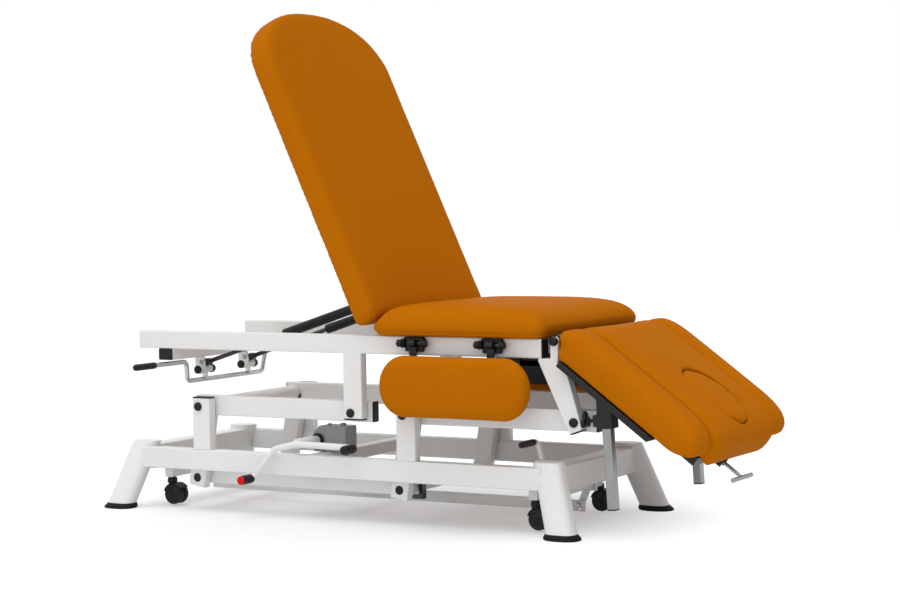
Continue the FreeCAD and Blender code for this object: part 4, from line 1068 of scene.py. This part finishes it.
@dataclass
class TopFrame:
    """Frame that carries the seat, with posts, plugs, bolts and hinge clamps."""

    beam_x: Pair = (-651, 661)
    beam_z: Pair = (467, 518)
    hang_x: float = 78
    hang_z: Pair = (284, 470)
    cap: float = 4
    # Middle, height and section of the cross tube's plug under the left end
    left_plug: tuple[float, float, float, float] = (-558, 450.5, 48, 33)
    slant: Rows = ((648, 467), (700, 467), (736, 424), (776, 286), (740, 273))
    ear: Rows = ((687, 460), (709, 460), (709, 518), (704, 524), (692, 524), (687, 518))
    ear_y: Pair = (0.5, 12)
    # Place, height and thickness of the bolts on the hanging posts, the slanted posts and the hinge ears
    bolts: Rows = ((71.4, PIVOT_Z, 7), (752.4, PIVOT_Z, 7), (698, 513, 9))
    clamps_x: Pair = (283, 520)
    # Height, depth, width and thickness of each clamp's upper and lower jaw
    jaws: Rows = ((510, 12, 62, 13), (487, 10, 58, 19))
    clamp_ear: tuple[float, float, float, float] = (30, 24, 9, 24)
    pin: Pair = (-300, 500)
    pin_end: Rows = ((CLOSED, 0), (8, 0), (10, 2), (10, 14), (8, 16), (CLOSED, 16))

    def build(self) -> None:
        """Make the raised frame."""
        y, post_y = OUTER - BEAM_DEEP / 2, OUTER - TUBE[1] / 2
        z, tall = sum(self.beam_z) / 2, self.beam_z[1] - self.beam_z[0]
        left, right = self.beam_x
        beam = bar((left, -y, z), (right, -y, z), Y_AXIS, BEAM_DEEP, tall)
        make("top_side_tubes", both_sides(beam), WHITE, "top_frame", ("top_side_beams",))
        low, high = self.hang_z
        seam = (self.hang_x, -post_y, low + self.cap)
        post = bar(seam, (self.hang_x, -post_y, high), X_AXIS, *TUBE)
        make("hanging_post_tubes", both_sides(post), WHITE, "top_frame", ("hanging_posts",))
        plugs = bar((self.hang_x, -post_y, low), seam, X_AXIS, *TUBE, end_round=1.4)
        plugs += bar((right, -y, z), (right + self.cap, -y, z), Y_AXIS, BEAM_DEEP, tall, end_round=1.4)
        plug_x, plug_z, *size = self.left_plug
        plugs += bar((plug_x, -OUTER, plug_z), (plug_x, -OUTER + self.cap, plug_z), X_AXIS, *size, end_round=1.2)
        plugs += self.slant_plug(post_y)
        make("top_tube_plugs", both_sides(plugs), PLASTIC, "top_frame", ("top_frame_caps",))
        slanted = plate_form(self.slant, -OUTER, -OUTER + TUBE[1], 6, 1.5)
        ear = plate_form(self.ear, -OUTER + self.ear_y[0], -OUTER + self.ear_y[1], 4, 1.5)
        make("slanted_post_tubes", both_sides(slanted + ear), WHITE, "top_frame", ("slanted_posts",))
        bolts = joined(turned_form(dome(BOLT, thick), (x, -OUTER, up), -Y_AXIS) for x, up, thick in self.bolts)
        make("top_bolt_caps", both_sides(bolts), PLASTIC, "top_frame", ("top_pivot_bolts",))
        self.clamps()
        dress(WHITE, "top_cross_tubes")

    def slant_plug(self, y: float) -> Surface:
        """The plug in the lower end of the near slanted post.

        Args:
            y: Middle of the post across the table.

        Returns:
            The closed surface.
        """
        heel, foot = np.array(self.slant[4]), np.array(self.slant[3])
        middle = (heel + foot) / 2
        tip = middle + 3 * unit(np.array((foot[1] - heel[1], heel[0] - foot[0])))
        return bar((middle[0], -y, middle[1]), (tip[0], -y, tip[1]), Y_AXIS, TUBE[1] - 1,
                   float(np.linalg.norm(foot - heel)) - 1, 3, end_round=1.0)

    def clamps(self) -> None:
        """Make the side rests' hinge clamps: an upper and a lower jaw, ears between them and round pin ends."""
        off, deep, *ear = self.clamp_ear
        y, z = self.pin
        whole = []
        for x in self.clamps_x:
            for height, jaw_deep, *size in self.jaws:
                whole.append(bar((x, -OUTER, height), (x, -OUTER - jaw_deep, height), X_AXIS, *size, 4, 2))
            for sign in SIDES.values():
                side = x + sign * off
                whole.append(bar((side, -OUTER, z), (side, -OUTER - deep, z), X_AXIS, *ear, 3, 2))
                whole.append(turned_form(self.pin_end, (side - sign, y, z), X_AXIS * sign))
        make("side_rest_clamps", both_sides(joined(whole)), PLASTIC, "top_frame", ("side_rest_hinges",))


@dataclass
class Seat(Padding):
    """Seat cushion on its wrapped base, with a long rolled front; levels give height and four insets."""

    x: Pair = (150, 674)
    half: float = 311
    low: float = 518
    seam: float = 528
    corner: float = 34
    levels: Rows = (
        (0.5, 12, 12, 16, 12), (2, 7, 7, 9, 7), (8, 4, 4, 5, 4), (16, 1, 1, 1, 1), (24, 0, 0, 1, 0),
        (32, 1, 1, 5, 1), (41, 4, 4, 13, 6), (49, 8, 8, 21, 12), (57, 14, 14, 26, 22), (65, 24, 24, 33, 36),
        (72, 37, 37, 46, 55), (78, 56, 56, 68, 84), (82, 84, 84, 102, 122), (84.5, 130, 130, 150, 170),
        (86, 210, 210, 200, 210), (86.5, 280, 280, 230, 230))

    def build(self) -> None:
        """Make the seat cushion and press in the seam above its wrapped base."""
        surface = self.form((self.x[0], -self.half), (self.x[1], self.half), self.corner, np.array(self.levels))
        surface.points[:, 2] += self.low
        piece = self.cover("seat_upholstery", surface, "top_frame", ("seat_cushion",))
        self.press(piece, coordinates(piece.data)[:, 2] / MM - self.seam, 3.0, 2.5)


@dataclass
class Backrest(Padding):
    """Reclined backrest with an arched top, and its gas springs."""

    hinge: Pair = (140, 539)
    angle: float = 65.4
    low: float = 9
    top: float = 965
    arch: float = 196
    half: float = 319
    rear: float = 20.4
    thick: float = 66
    flat: float = 1.2
    voxel: float = 8.5

    def arched(self, levels: np.ndarray) -> Surface:
        """Arched outlines stacked by level: two round lower corners, straight sides and half an oval on top.

        The oval is a little squarer than an ellipse: cosine and sine are raised to the power 0.92.

        Args:
            levels: Rows of height to the rear and of inset.

        Returns:
            The closed surface, with its length along X and its rear along +Z.
        """
        inset, power = levels[:, 1, None], 0.92
        side, low = self.half - inset, self.low + inset
        shoulder = self.top - self.arch
        rise = np.maximum(self.arch - inset, 12)
        radius = 24 + inset * 0.3
        lower = np.linspace(np.pi, 1.5 * np.pi, 9)[None]
        upper = np.linspace(0, np.pi, 61)[None]
        across, up = np.cos(upper), np.sin(upper)
        corner_x = low + radius + radius * np.cos(lower)
        corner_y = radius + radius * np.sin(lower) - side
        x = np.concatenate((corner_x, shoulder + rise * up ** power, corner_x[:, ::-1]), 1)
        y = np.concatenate((corner_y, -side * np.sign(across) * np.abs(across) ** power, -corner_y[:, ::-1]), 1)
        return stacked(x, y, levels[:, :1])

    def flatten(self, piece: bpy.types.Object, depth: float) -> None:
        """Flatten the cushion's rear on its board: no point lies further behind the hinge line than depth.

        Args:
            piece: The cushion.
            depth: Distance of the board behind the hinge line.
        """
        points = coordinates(piece.data)
        angle = math.radians(self.angle)
        behind = np.array((-math.sin(angle), 0, -math.cos(angle)))
        hinge = (np.array((self.hinge[0], 0, self.hinge[1])) + BASE) * MM
        beyond = np.maximum((points - hinge) @ behind - depth * MM, 0)
        set_coordinates(piece.data, points - beyond[:, None] * behind)

    def build(self) -> None:
        """Make the backrest cushion and dress its hardware."""
        rear, front = self.rear, self.rear - self.thick
        levels = np.array((
            (rear, 150), (rear, 1), (rear - 1, 0), (rear - 5, 0), (rear - 20, 0), (rear - 40, 0),
            (front + 17, 0.8), (front + 11, 3), (front + 6.5, 7), (front + 3.5, 12), (front + 1.8, 18),
            (front + 0.8, 30), (front + 0.2, 60), (front - 0.5, 160)))
        surface = self.arched(levels).turned(self.angle - 180)
        surface.points += (self.hinge[0], 0, self.hinge[1])
        piece = self.cover("backrest_upholstery", surface, "backrest", ("backrest_cushion",))
        self.flatten(piece, rear - self.flat)
        dress(WHITE, "backrest_frame")
        dress(PLASTIC, "gas_spring_cylinders")
        dress(ROD, "gas_spring_rods")


@dataclass
class ReleaseHandle:
    """Bent release rod with its tabs, pivots and grip, and the bracket plates of the gas springs."""

    x: float = -549
    # Place across the table and height of the rod's corners
    path: Rows = ((207, 423), (188, 366), (-188, 366), (-192, 423), (-428, 423))
    rod: float = 7
    bend: float = 15
    pivot: Pair = (-544, 396)
    tab_z: Pair = (366, 404)
    tab: Pair = (8, 16)
    plate_y: float = 108
    inside: float = 30
    outside: float = 36
    tube: float = 11
    plate: Rows = ((-553, 384), (-530, 384), (-520, 393), (-520, 435), (-553, 435))
    spring_pin: Pair = (-530, 419)
    grip_y: float = -341
    grip: Rows = ((7.2, 0), (9, 0.6), (9.6, 2.5), (9.6, 84), (8.6, 88.5), (6, 91), (CLOSED, 91.6))

    def build(self) -> None:
        """Make rod, tabs, pivots, bracket plates and grip."""
        x, z = self.pivot
        low, high = self.tab_z
        middles = (-self.plate_y, self.plate_y)
        rod = round_bar([(self.x, y, up) for y, up in self.path], self.rod, self.bend)
        rod += joined(bar((x, y, low), (x, y, high), Y_AXIS, *self.tab, 2) for y in middles)
        make("release_rod", rod, BRIGHT, "release", ("release_handle",))
        long = self.outside + self.inside
        tube = ((CLOSED, 0), (self.tube, 0), (self.tube, long), (CLOSED, long))
        tubes, pins, plates, heads = [], [], [], []
        for middle in middles:
            near, seat, far = middle - self.outside, middle - self.inside, middle + self.outside
            tubes.append(turned_form(tube, (x, seat, z), Y_AXIS))
            pins.append(turned_form(dome(12, 6), (x, near, z), -Y_AXIS))
            pins.append(turned_form(dome(12.5, 18), (x, far - 12, z), Y_AXIS))
            heads.append(turned_form(dome(7, 3), (self.spring_pin[0], near, self.spring_pin[1]), -Y_AXIS))
            plates.append(plate_form(self.plate, near, seat, 4, 1))
        make("release_pivot_tubes", joined(tubes), WHITE, "release")
        make("release_pin_caps", joined(pins), PLASTIC, "release")
        # The bracket plates are painted white; their grey plated finish is painted shade from the cross tube above
        # them
        make("spring_bracket_plates", joined(plates), BRIGHT, "top_frame", ("spring_brackets",))
        make("spring_pin_heads", joined(heads), ZINC, "top_frame")
        grip = turned_form(self.grip, (self.x, self.grip_y, self.path[-1][1]), -Y_AXIS)
        make("release_hand_grip", grip, PLASTIC, "release", ("release_grip",))


@dataclass
class LegSection(Padding):
    """Tilting leg section: centre pad with an oval plug, two wings, tubes, knobs and a T handle."""

    hinge: Pair = (698, 513)
    tilt: float = 36.3
    low: float = -21
    top: float = 76
    start: float = 8
    end: float = 488
    bow: float = 44
    bow_x: Pair = (250, 220)
    lip: float = 24
    lip_x: Pair = (474, 10)
    lip_tall: float = 50
    half: float = 208
    wing: Pair = (211, 311)
    plug: Point = (355, 108, 92)
    # Height above the pad's underside and inset of the plug's outlines
    plug_levels: Rows = ((4, 40), (4, 8), (8, 4), (18, 2.2), (60, 2.2), (85, 2.2), (92, 3.2), (95.5, 7),
                         (97.4, 15), (98.2, 36), (98.6, 80))
    board: Rows = ((52, -39), (364, -39), (376, -21.5), (52, -21.5))
    board_y: Pair = (-308, -213)
    lean: float = 3.39
    tube_y: float = 275
    tube_z: Pair = (86, 356)
    tube_at: Pair = (848.7, 295)
    tube: float = 25
    knob_at: Pair = (847.6, 313)
    knob_off: float = 69
    # Distance along the stud and share of the radius of the knob's outlines
    knob_levels: Rows = ((0, 0.3), (0, 0.8), (1.2, 0.93), (3, 1), (8, 1), (10, 0.93), (11, 0.8), (11, 0.45),
                         (17, 0.42), (17, 0.2))
    stud: Pair = (14, 56)
    handle_x: Pair = (466, 542)
    handle_out: float = -57
    handle_half: float = 65
    handle_hub: Rows = ((CLOSED, -9), (9, -9), (10, -8), (10, 8), (9, 9), (CLOSED, 9))

    def tilted(self, surface: Surface) -> Surface:
        """Tilt a surface of the level section to its place.

        Args:
            surface: Surface with x along the section and z out of its face.

        Returns:
            The surface in the table's frame.
        """
        placed = surface.turned(self.tilt)
        return placed.at(placed.points + (self.hinge[0], 0, self.hinge[1]))

    def pad_levels(self, outer: bool) -> np.ndarray:
        """Levels of a pad: long rolls at both ends, tight edges beside another pad, a long roll on an outer side.

        A wing also thins from below towards its lower end, past the end of its board.

        Args:
            outer: Whether the low Y side is the outer side of a wing.

        Returns:
            Rows of height and of the four insets.
        """
        height = self.low + np.array((0.4, 0.4, 3, 10, 20, 33, 40, 48, 57, 68, 79, 87, 92, 95.5, 97))
        start = np.array((46, 30, 26, 23, 21, 16, 8, 1, 1, 7, 20, 38, 60, 100, 150))
        low_end = (110, 70, 46, 24, 8, 1) if outer else (24, 14, 9, 4, 1, 0)
        end = np.array((*low_end, 0, 2, 5, 13, 27, 46, 68, 110, 150))
        inner = np.array((30, 4, 2, 1, 0, 0, 0, 0, 0, 0.5, 2, 5, 9, 18, 34 if outer else 150))
        roll = np.array((30, 1, 0, 0, 0, 0, 0, 0, 0.5, 3, 8, 15, 23, 36, 52))
        return np.stack((height, roll if outer else inner, inner, start, end), -1)

    def sink(self, piece: bpy.types.Object, width: float, depth: float) -> None:
        """Press the cover's face in round the oval plug, by the distance to the oval's rim.

        Args:
            piece: The padded piece.
            width: Width of the valley.
            depth: Depth of the valley.
        """
        points = coordinates(piece.data) / MM - BASE
        angle = math.radians(self.tilt)
        x, z = points[:, 0] - self.hinge[0], points[:, 2] - self.hinge[1]
        along = x * math.cos(angle) - z * math.sin(angle)
        out = x * math.sin(angle) + z * math.cos(angle)
        middle, long, wide = self.plug
        distance = (np.hypot((along - middle) / long, points[:, 1] / wide) - 1) * (long + wide) / 2
        self.press(piece, np.where(out > 30, distance, 1000), width, depth)

    def ovals(self, rows: Rows, count: int) -> Surface:
        """Ovals stacked at the plug's place.

        Args:
            rows: Height out of the section's face and inset of each oval.
            count: Points round the oval.

        Returns:
            The closed surface at its tilted place.
        """
        angle = around(count)
        height, inset = (np.array(rows)[:, i, None] for i in range(2))
        middle, long, wide = self.plug
        return self.tilted(stacked(middle + (long - inset) * np.cos(angle), (wide - inset) * np.sin(angle), height))

    def centre(self) -> None:
        """Make the centre pad with its hole, and the plug.

        The pad's lower end is bowed by bow * (1 - |y / half|^2.5), and a lip hangs there in front of the end bar,
        by lip * (1 - 0.6 |y / half|^3).
        """
        pad = self.form((self.start, -self.half), (self.end, self.half), 30, self.pad_levels(False))
        across = np.abs(pad.points[:, 1] / self.half)
        share = np.clip((pad.points[:, 0] - self.bow_x[0]) / self.bow_x[1], 0, 1)
        pad.points[:, 0] += self.bow * share ** 2 * (1 - across ** 2.5)
        x, z = pad.points[:, 0], pad.points[:, 2]
        beyond = np.clip((x - self.lip_x[0]) / self.lip_x[1], 0, 1)
        hang = self.lip * (1 - 0.6 * across ** 3)
        pad.points[:, 2] -= hang * beyond * np.clip(1 - (z - self.low) / self.lip_tall, 0, 1)
        piece = self.cover("leg_pad_upholstery", self.tilted(pad), "leg_section", ("leg_pad",))
        self.sink(piece, 6, 2)
        hole = self.ovals(((self.low - 20, -1), (self.top + 30, -1)), 96)
        cutter = make("plug_hole", hole, ORANGE, "leg_section")
        cut = piece.modifiers.new("hole", "BOOLEAN")
        cut.operation = "DIFFERENCE"
        cut.solver = "EXACT"
        cut.object = cutter
        self.settle(piece)
        piece.data.set_sharp_from_angle(angle=math.radians(50))
        bpy.data.objects.remove(cutter)
        plug = self.ovals(tuple((self.low + height, inset) for height, inset in self.plug_levels), 72)
        self.cover("face_plug_upholstery", plug, "plug", ("face_plug",))

    def wings(self) -> None:
        """Make both wings: pad, board and tube, with knobs in the sockets."""
        pad = self.form((self.start, -self.wing[1]), (self.end, -self.wing[0]), 26, self.pad_levels(True))
        near = self.cover("wing_near_upholstery", self.tilted(pad), "wing_near", ("wing_pad_near",))
        twin_of(near, "wing_far_upholstery", "wing_far", ("wing_pad_far",))
        board = self.tilted(plate_form(self.board, *self.board_y, 2, 1.5))
        slope = math.tan(math.radians(self.lean))
        low, top = ((self.tube_at[0] + (self.tube_at[1] - z) * slope, -self.tube_y, z) for z in self.tube_z)
        tube = bar(low, top, Y_AXIS, self.tube, self.tube, 3)
        foot = bar((low[0] + 0.2, low[1], low[2] - 3), (low[0], low[1], low[2] + 0.5), Y_AXIS, self.tube,
                   self.tube, 3, 1)
        for side, sign in SIDES.items():
            body = f"wing_{side}"
            make(f"wing_board_{side}", board.on(sign), BLACK, body, (f"wing_carrier_{side}",))
            make(f"wing_tube_{side}", tube.on(sign), ZINC, body)
            make(f"wing_tube_foot_{side}", foot.on(sign), PLASTIC, body)
            self.knob(side, sign)

    def knob(self, side: str, sign: float) -> None:
        """Make a lobed clamping knob: radius 19 + 6 cos 3a round the stud, with rounded faces.

        Args:
            side: Side of the table.
            sign: Minus one on the near side.
        """
        lean = math.radians(self.lean)
        axis = np.array((math.cos(lean), 0, math.sin(lean)))
        up = np.array((-math.sin(lean), 0, math.cos(lean)))
        middle = np.array((self.knob_at[0], sign * self.tube_y, self.knob_at[1])) - axis * self.knob_off
        angle = around(72)
        levels = np.array(self.knob_levels)
        radius = (19 + 6 * np.cos(3 * angle))[None] * levels[:, 1, None]
        ring = (middle + levels[:, 0, None, None] * axis
                + radius[..., None] * (np.cos(angle)[:, None] * up + np.sin(angle)[:, None] * Y_AXIS)[None])
        lobes = ringed(ring) + round_bar([middle + axis * along for along in self.stud], 5)
        make(f"clamp_knob_{side}", lobes, PLASTIC, f"wing_knob_{side}", (f"wing_knob_{side}",))

    def handle(self) -> None:
        """Make the T handle with its pivot caps."""
        angle = math.radians(self.tilt)
        along = np.array((math.cos(angle), 0, -math.sin(angle)))
        out = np.array((math.sin(angle), 0, math.cos(angle)))
        hinge = np.array((self.hinge[0], 0, self.hinge[1]))
        hub, end = (hinge + along * distance + out * self.handle_out for distance in self.handle_x)
        half = Y_AXIS * self.handle_half
        rod = round_bar([hub, end], 5) + round_bar([end - half, end + half], 6)
        rod += turned_form(self.handle_hub, hub, Y_AXIS)
        make("leg_handle", rod, ZINC, "tilt_handle", ("tilt_handle",))
        caps = both_sides(turned_form(dome(9, 6), hub - Y_AXIS * 16, -Y_AXIS))
        make("leg_handle_pivot", caps, PLASTIC, "leg_section")

    def build(self) -> None:
        """Make the whole section."""
        self.centre()
        self.wings()
        self.handle()
        dress(BLACK, "leg_frame", "leg_strut_cylinder")
        dress(ROD, "leg_strut_rod")


@dataclass
class SideRests(Padding):
    """Padded rests that hang beside the seat on straps."""

    x: Pair = (197, 652)
    z: Pair = (302, 472)
    inner: float = 297
    board: float = 12
    board_x: Pair = (204, 632)
    board_z: Pair = (344, 464)
    corner: float = 80
    insets: tuple[float, ...] = (60, 8, 3.5, 1, 0, 1, 4, 9, 17, 29, 48, 78)
    heights: tuple[float, ...] = (0.4, 0.4, 3, 8, 16, 24, 32, 37.5, 42, 44.8, 46.3, 46.8)
    straps_x: Pair = (283, 520)
    strap_y: float = -294
    strap_z: Pair = (398, 494)
    eye: Point = (-11, -300, 500)
    eye_profile: Rows = ((5.2, 0), (9.5, 0), (10, 0.6), (10, 21.4), (9.5, 22), (5.2, 22))
    voxel: float = 6.0

    def build(self) -> None:
        """Make pads, boards and straps."""
        (x0, x1), (z0, z1) = self.x, self.z
        flat = self.form((x0, z0), (x1, z1), self.corner, np.column_stack((self.heights, *[self.insets] * 4)), 16)
        face = -(self.inner + self.board)
        upright = np.stack((flat.points[:, 0], face - flat.points[:, 2], flat.points[:, 1]), -1)
        pad = self.cover("side_rest_near_upholstery", flat.at(upright), "side_rest_near",
                         ("side_rest_pad_near",), Fill.SOFT)
        twin_of(pad, "side_rest_far_upholstery", "side_rest_far", ("side_rest_pad_far",))
        (x0, x1), (z0, z1) = self.board_x, self.board_z
        outline = rounded_section(x1 - x0, z1 - z0, self.corner - 12, 14)
        levels = np.array(((-self.inner, 1.5), (-self.inner - 1.5, 0), (face + 0.6, 0), (face, 0.6)))
        ring = outline[None] * (1 - levels[:, 1, None, None] / self.corner)
        board = stacked(ring[..., 0] + (x0 + x1) / 2, levels[:, :1], ring[..., 1] + (z0 + z1) / 2)
        low, high = self.strap_z
        for x in self.straps_x:
            board += bar((x, self.strap_y, low), (x, self.strap_y, high), X_AXIS, 22, 6, 1.2)
            board += turned_form(self.eye_profile, X_AXIS * x + self.eye, X_AXIS)
        for side, sign in SIDES.items():
            make(f"side_rest_{side}_board", board.on(sign), BLACK, f"side_rest_{side}",
                 (f"side_rest_board_{side}",))


@dataclass
class Castors:
    """Twin-wheel castors, their bars, link and pedal."""

    ends: tuple[tuple[str, float], ...] = (("left", -612), ("right", 592))
    y: float = 190
    trail: float = 16
    axle_z: float = 34
    radius: float = 29
    half: float = 20.5
    # Profile of a wheel up to its tread, radius and distance from its outer face
    dish: Rows = ((4.1, 2), (8, 1.6), (9, 0.4), (16, 0.8), (19, 2.2), (21, 0.6), (26, 0))
    bar_half: float = 205
    bar_z: float = 97
    bar: float = 26
    hood_arc: Pair = (35, 165)
    hood_gap: Pair = (1.5, 3.6)
    hood_half: float = 20
    neck: Rows = ((CLOSED, 0), (13, 0), (13, 8), (11, 14), (CLOSED, 14))
    neck_z: float = 67
    pedal: Rows = ((650, -190, 100), (618, -190, 100), (618, -190, 177), (600, -190, 239.5), (600, -280, 239.5))
    shaft: Rows = ((650, -200, 100), (650, 34, 100))
    crank: Rows = ((650, 9, 100), (623.5, 9, 37.7))
    crank_pin: Rows = ((627, -8, 46), (627, 7, 46))
    grip: Point = (600, -285, 239.5)

    def tyre(self, x: float, y: float) -> Surface:
        """A wheel with a rounded tread and a dished hub, turned on the axle.

        Args:
            x: Place of the axle along the table.
            y: Outer face of the wheel.

        Returns:
            The closed surface.
        """
        r = self.radius
        tread = ((r - 0.7, 1.2), (r, 3.5), (r, 11.5), (r - 0.7, 13.8), (26, 15), (4.1, 15))
        return turned_form(self.dish + tread, (x, y, self.axle_z), Y_AXIS, 64)

    def build(self) -> None:
        """Make wheels, hoods, bars and the pedal."""
        bars = joined(bar((x, -self.bar_half, self.bar_z), (x, self.bar_half, self.bar_z), X_AXIS, self.bar,
                          self.bar, 3) for _, x in self.ends)
        for end, x in self.ends:
            for side, sign in SIDES.items():
                hub, y = x + self.trail, sign * self.y
                wheels = self.tyre(hub, y - self.half)
                other = self.tyre(hub, 0)
                other.points[:, 1] = y + self.half - other.points[:, 1]
                make(f"castor_tyres_{side}_{end}", wheels + other, NYLON, f"castor_wheels_{side}_{end}",
                     (f"castor_wheels_{side}_{end}",))
                dress(NYLON, f"castor_fork_{side}_{end}")
                make(f"castor_hood_{side}_{end}", self.hood(x, hub, y), NYLON, f"castor_fork_{side}_{end}")
        make("castor_bar_tubes", bars, WHITE, "castor_carriers", ("castor_bars",))
        dress(WHITE, "castor_link")
        pedal = round_bar(self.pedal, 7.5, 16) + round_bar(self.shaft, 9, sides=32)
        pedal += bar(*self.crank, Y_AXIS, 8, 20, 2) + round_bar(self.crank_pin, 5)
        make("castor_pedal_rod", pedal, WHITE, "castor_pedal", ("castor_pedal",))
        grip = turned_form(grip_profile(9.4, 78, 6), self.grip, Y_AXIS)
        make("castor_foot_grip", grip, PLASTIC, "castor_pedal", ("castor_pedal_grip",))

    def hood(self, stem: float, hub: float, y: float) -> Surface:
        """A curved hood over the wheels: an arc band about the axle, with a round neck at the stem.

        Args:
            stem: Place of the swivel along the table.
            hub: Place of the axle along the table.
            y: Middle of the castor.

        Returns:
            The closed surface.
        """
        angle = np.radians(np.linspace(*self.hood_arc, 24))[:, None]
        inner, outer = (self.radius + gap for gap in self.hood_gap)
        radius = np.array((inner, outer, outer, inner))[None]
        wide = self.hood_half * np.array((-1, -1, 1, 1))[None]
        band = stacked(hub + radius * np.cos(angle), y + wide, self.axle_z + radius * np.sin(angle))
        return band + turned_form(self.neck, (stem, y, self.neck_z), Z_AXIS)


@dataclass
class Stage:
    """Camera, floor and light."""

    eye: Point = (3194.28, -5135.57, 878.81)
    azimuth: float = 29.995
    pitch: float = 2.653
    roll: float = -0.891
    focus_px: float = 2117.84
    picture_px: float = 900
    sensor: float = 36.0
    floor_half: float = 40.0
    floor_colour: str = "#F2F2F2"
    glow: float = 1.12
    # Distances from the table's middle between which the floor turns white, and its share of white at both
    fade: Pair = (0.45, 1.2)
    white: Pair = (0.25, 1.0)
    surround: float = 0.43
    # Name, direction from the table, spread in degrees and strength of each lamp
    lamps: tuple[tuple[str, Point, float, float], ...] = (
        ("overhead", (0.02, -0.15, 0.99), 50, 1.4), ("front", (0.1, -0.8, 0.6), 90, 0.9))

    def place(self, name: str, data: bpy.types.ID, axes: tuple[np.ndarray, ...], at: np.ndarray
              ) -> bpy.types.Object:
        """Put a camera or lamp into the scene.

        Args:
            name: Its name.
            data: Its data.
            axes: Its right, upward and backward directions.
            at: Its place in metres.

        Returns:
            The new object.
        """
        matrix = np.eye(4)
        matrix[:3, :3] = np.column_stack(axes)
        matrix[:3, 3] = at
        made = bpy.data.objects.new(name, data)
        made.matrix_world = Matrix(matrix.tolist())
        bpy.context.scene.collection.objects.link(made)
        return made

    def camera(self) -> None:
        """Set the camera from its measured place, direction and focal length."""
        a, e, r = (math.radians(v) for v in (self.azimuth, self.pitch, self.roll))
        back = np.array((math.sin(a) * math.cos(e), -math.cos(a) * math.cos(e), math.sin(e)))
        right = np.array((math.cos(a), math.sin(a), 0.0))
        up = np.cross(back, right)
        axes = (right * math.cos(r) + up * math.sin(r), up * math.cos(r) - right * math.sin(r), back)
        data = bpy.data.cameras.new("photo_camera")
        data.sensor_fit = "HORIZONTAL"
        data.sensor_width = self.sensor
        data.lens = self.sensor * self.focus_px / self.picture_px
        data.clip_end = 200.0
        eye = self.place("photo_camera", data, axes, (np.array(self.eye) + BASE) * MM)
        bpy.context.scene.camera = eye

    def seen(self, tree: bpy.types.NodeTree) -> bpy.types.NodeSocket:
        """Pick the rays that the camera sees straight, in a mirror or through glass.

        Args:
            tree: The tree that gets the nodes.

        Returns:
            One for those rays, else zero.
        """
        path = add(tree, "ShaderNodeLightPath", {})
        some = path.outputs["Is Camera Ray"]
        for kind in ("Is Glossy Ray", "Is Transmission Ray"):
            some = add(tree, "ShaderNodeMath", {0: some, 1: path.outputs[kind]}, operation="MAXIMUM").outputs[0]
        return some

    def floor(self) -> None:
        """Lay a pale floor that keeps the shadow near the table and turns plain white further out."""
        size = self.floor_half
        mesh = bpy.data.meshes.new("studio_floor")
        mesh.from_pydata([(-size, -size, 0), (size, -size, 0), (size, size, 0), (-size, size, 0)], [],
                         [(0, 1, 2, 3)])
        plane = bpy.data.objects.new("studio_floor", mesh)
        bpy.context.scene.collection.objects.link(plane)
        material = bpy.data.materials.new("pale_studio_floor")
        material.use_nodes = True
        tree = material.node_tree
        tree.nodes.clear()
        matt = add(tree, "ShaderNodeBsdfDiffuse", {"Color": linear(self.floor_colour)}).outputs["BSDF"]
        glow = add(tree, "ShaderNodeEmission", {"Color": (1, 1, 1, 1), "Strength": self.glow})
        place = add(tree, "ShaderNodeTexCoord", {}).outputs["Object"]
        middle = add(tree, "ShaderNodeMapping", {"Vector": place, "Location": tuple(-BASE * MM)})
        away = add(tree, "ShaderNodeVectorMath", {0: middle.outputs["Vector"]}, operation="LENGTH")
        share = add(tree, "ShaderNodeMapRange", {
            "Value": away.outputs["Value"], "From Min": self.fade[0], "From Max": self.fade[1],
            "To Min": self.white[0], "To Max": self.white[1]}, interpolation_type="SMOOTHSTEP")
        white = add(tree, "ShaderNodeMixShader", {0: share.outputs["Result"], 1: matt, 2: glow.outputs["Emission"]})
        mix = add(tree, "ShaderNodeMixShader", {0: self.seen(tree), 1: matt, 2: white.outputs["Shader"]})
        add(tree, "ShaderNodeOutputMaterial", {"Surface": mix.outputs["Shader"]})
        mesh.materials.append(material)

    def light(self) -> None:
        """Light the table from overhead and from the front with wide soft lamps, in an even pale surround."""
        world = bpy.data.worlds.new("studio")
        bpy.context.scene.world = world
        world.use_nodes = True
        tree = world.node_tree
        tree.nodes.clear()
        soft, plain = (add(tree, "ShaderNodeBackground", {"Color": (1, 1, 1, 1), "Strength": strength})
                       for strength in (self.surround, 1.0))
        mix = add(tree, "ShaderNodeMixShader", {0: self.seen(tree), 1: soft.outputs["Background"],
                                                2: plain.outputs["Background"]})
        add(tree, "ShaderNodeOutputWorld", {"Surface": mix.outputs["Shader"]})
        for name, toward, spread, power in self.lamps:
            data = bpy.data.lights.new(name, "SUN")
            data.angle = math.radians(spread)
            data.energy = power
            back = unit(toward)
            right = unit(np.cross(Z_AXIS, back))
            self.place(name, data, (right, np.cross(back, right), back), back * 4)

    def build(self) -> None:
        """Set up the picture."""
        self.camera()
        self.floor()
        self.light()
        bpy.context.scene.view_settings.view_transform = "Standard"


def main() -> None:
    """Build the table's parts in order."""
    logging.basicConfig(level=logging.INFO, format="%(message)s")
    for part in (Stage(), BaseFrame(), LiftLinkage(), PumpUnit(), TopFrame(), Seat(), Backrest(), ReleaseHandle(),
                 LegSection(), SideRests(), Castors()):
        part.build()
        log.info("%s done", type(part).__name__)


if __name__ == "__main__":
    main()
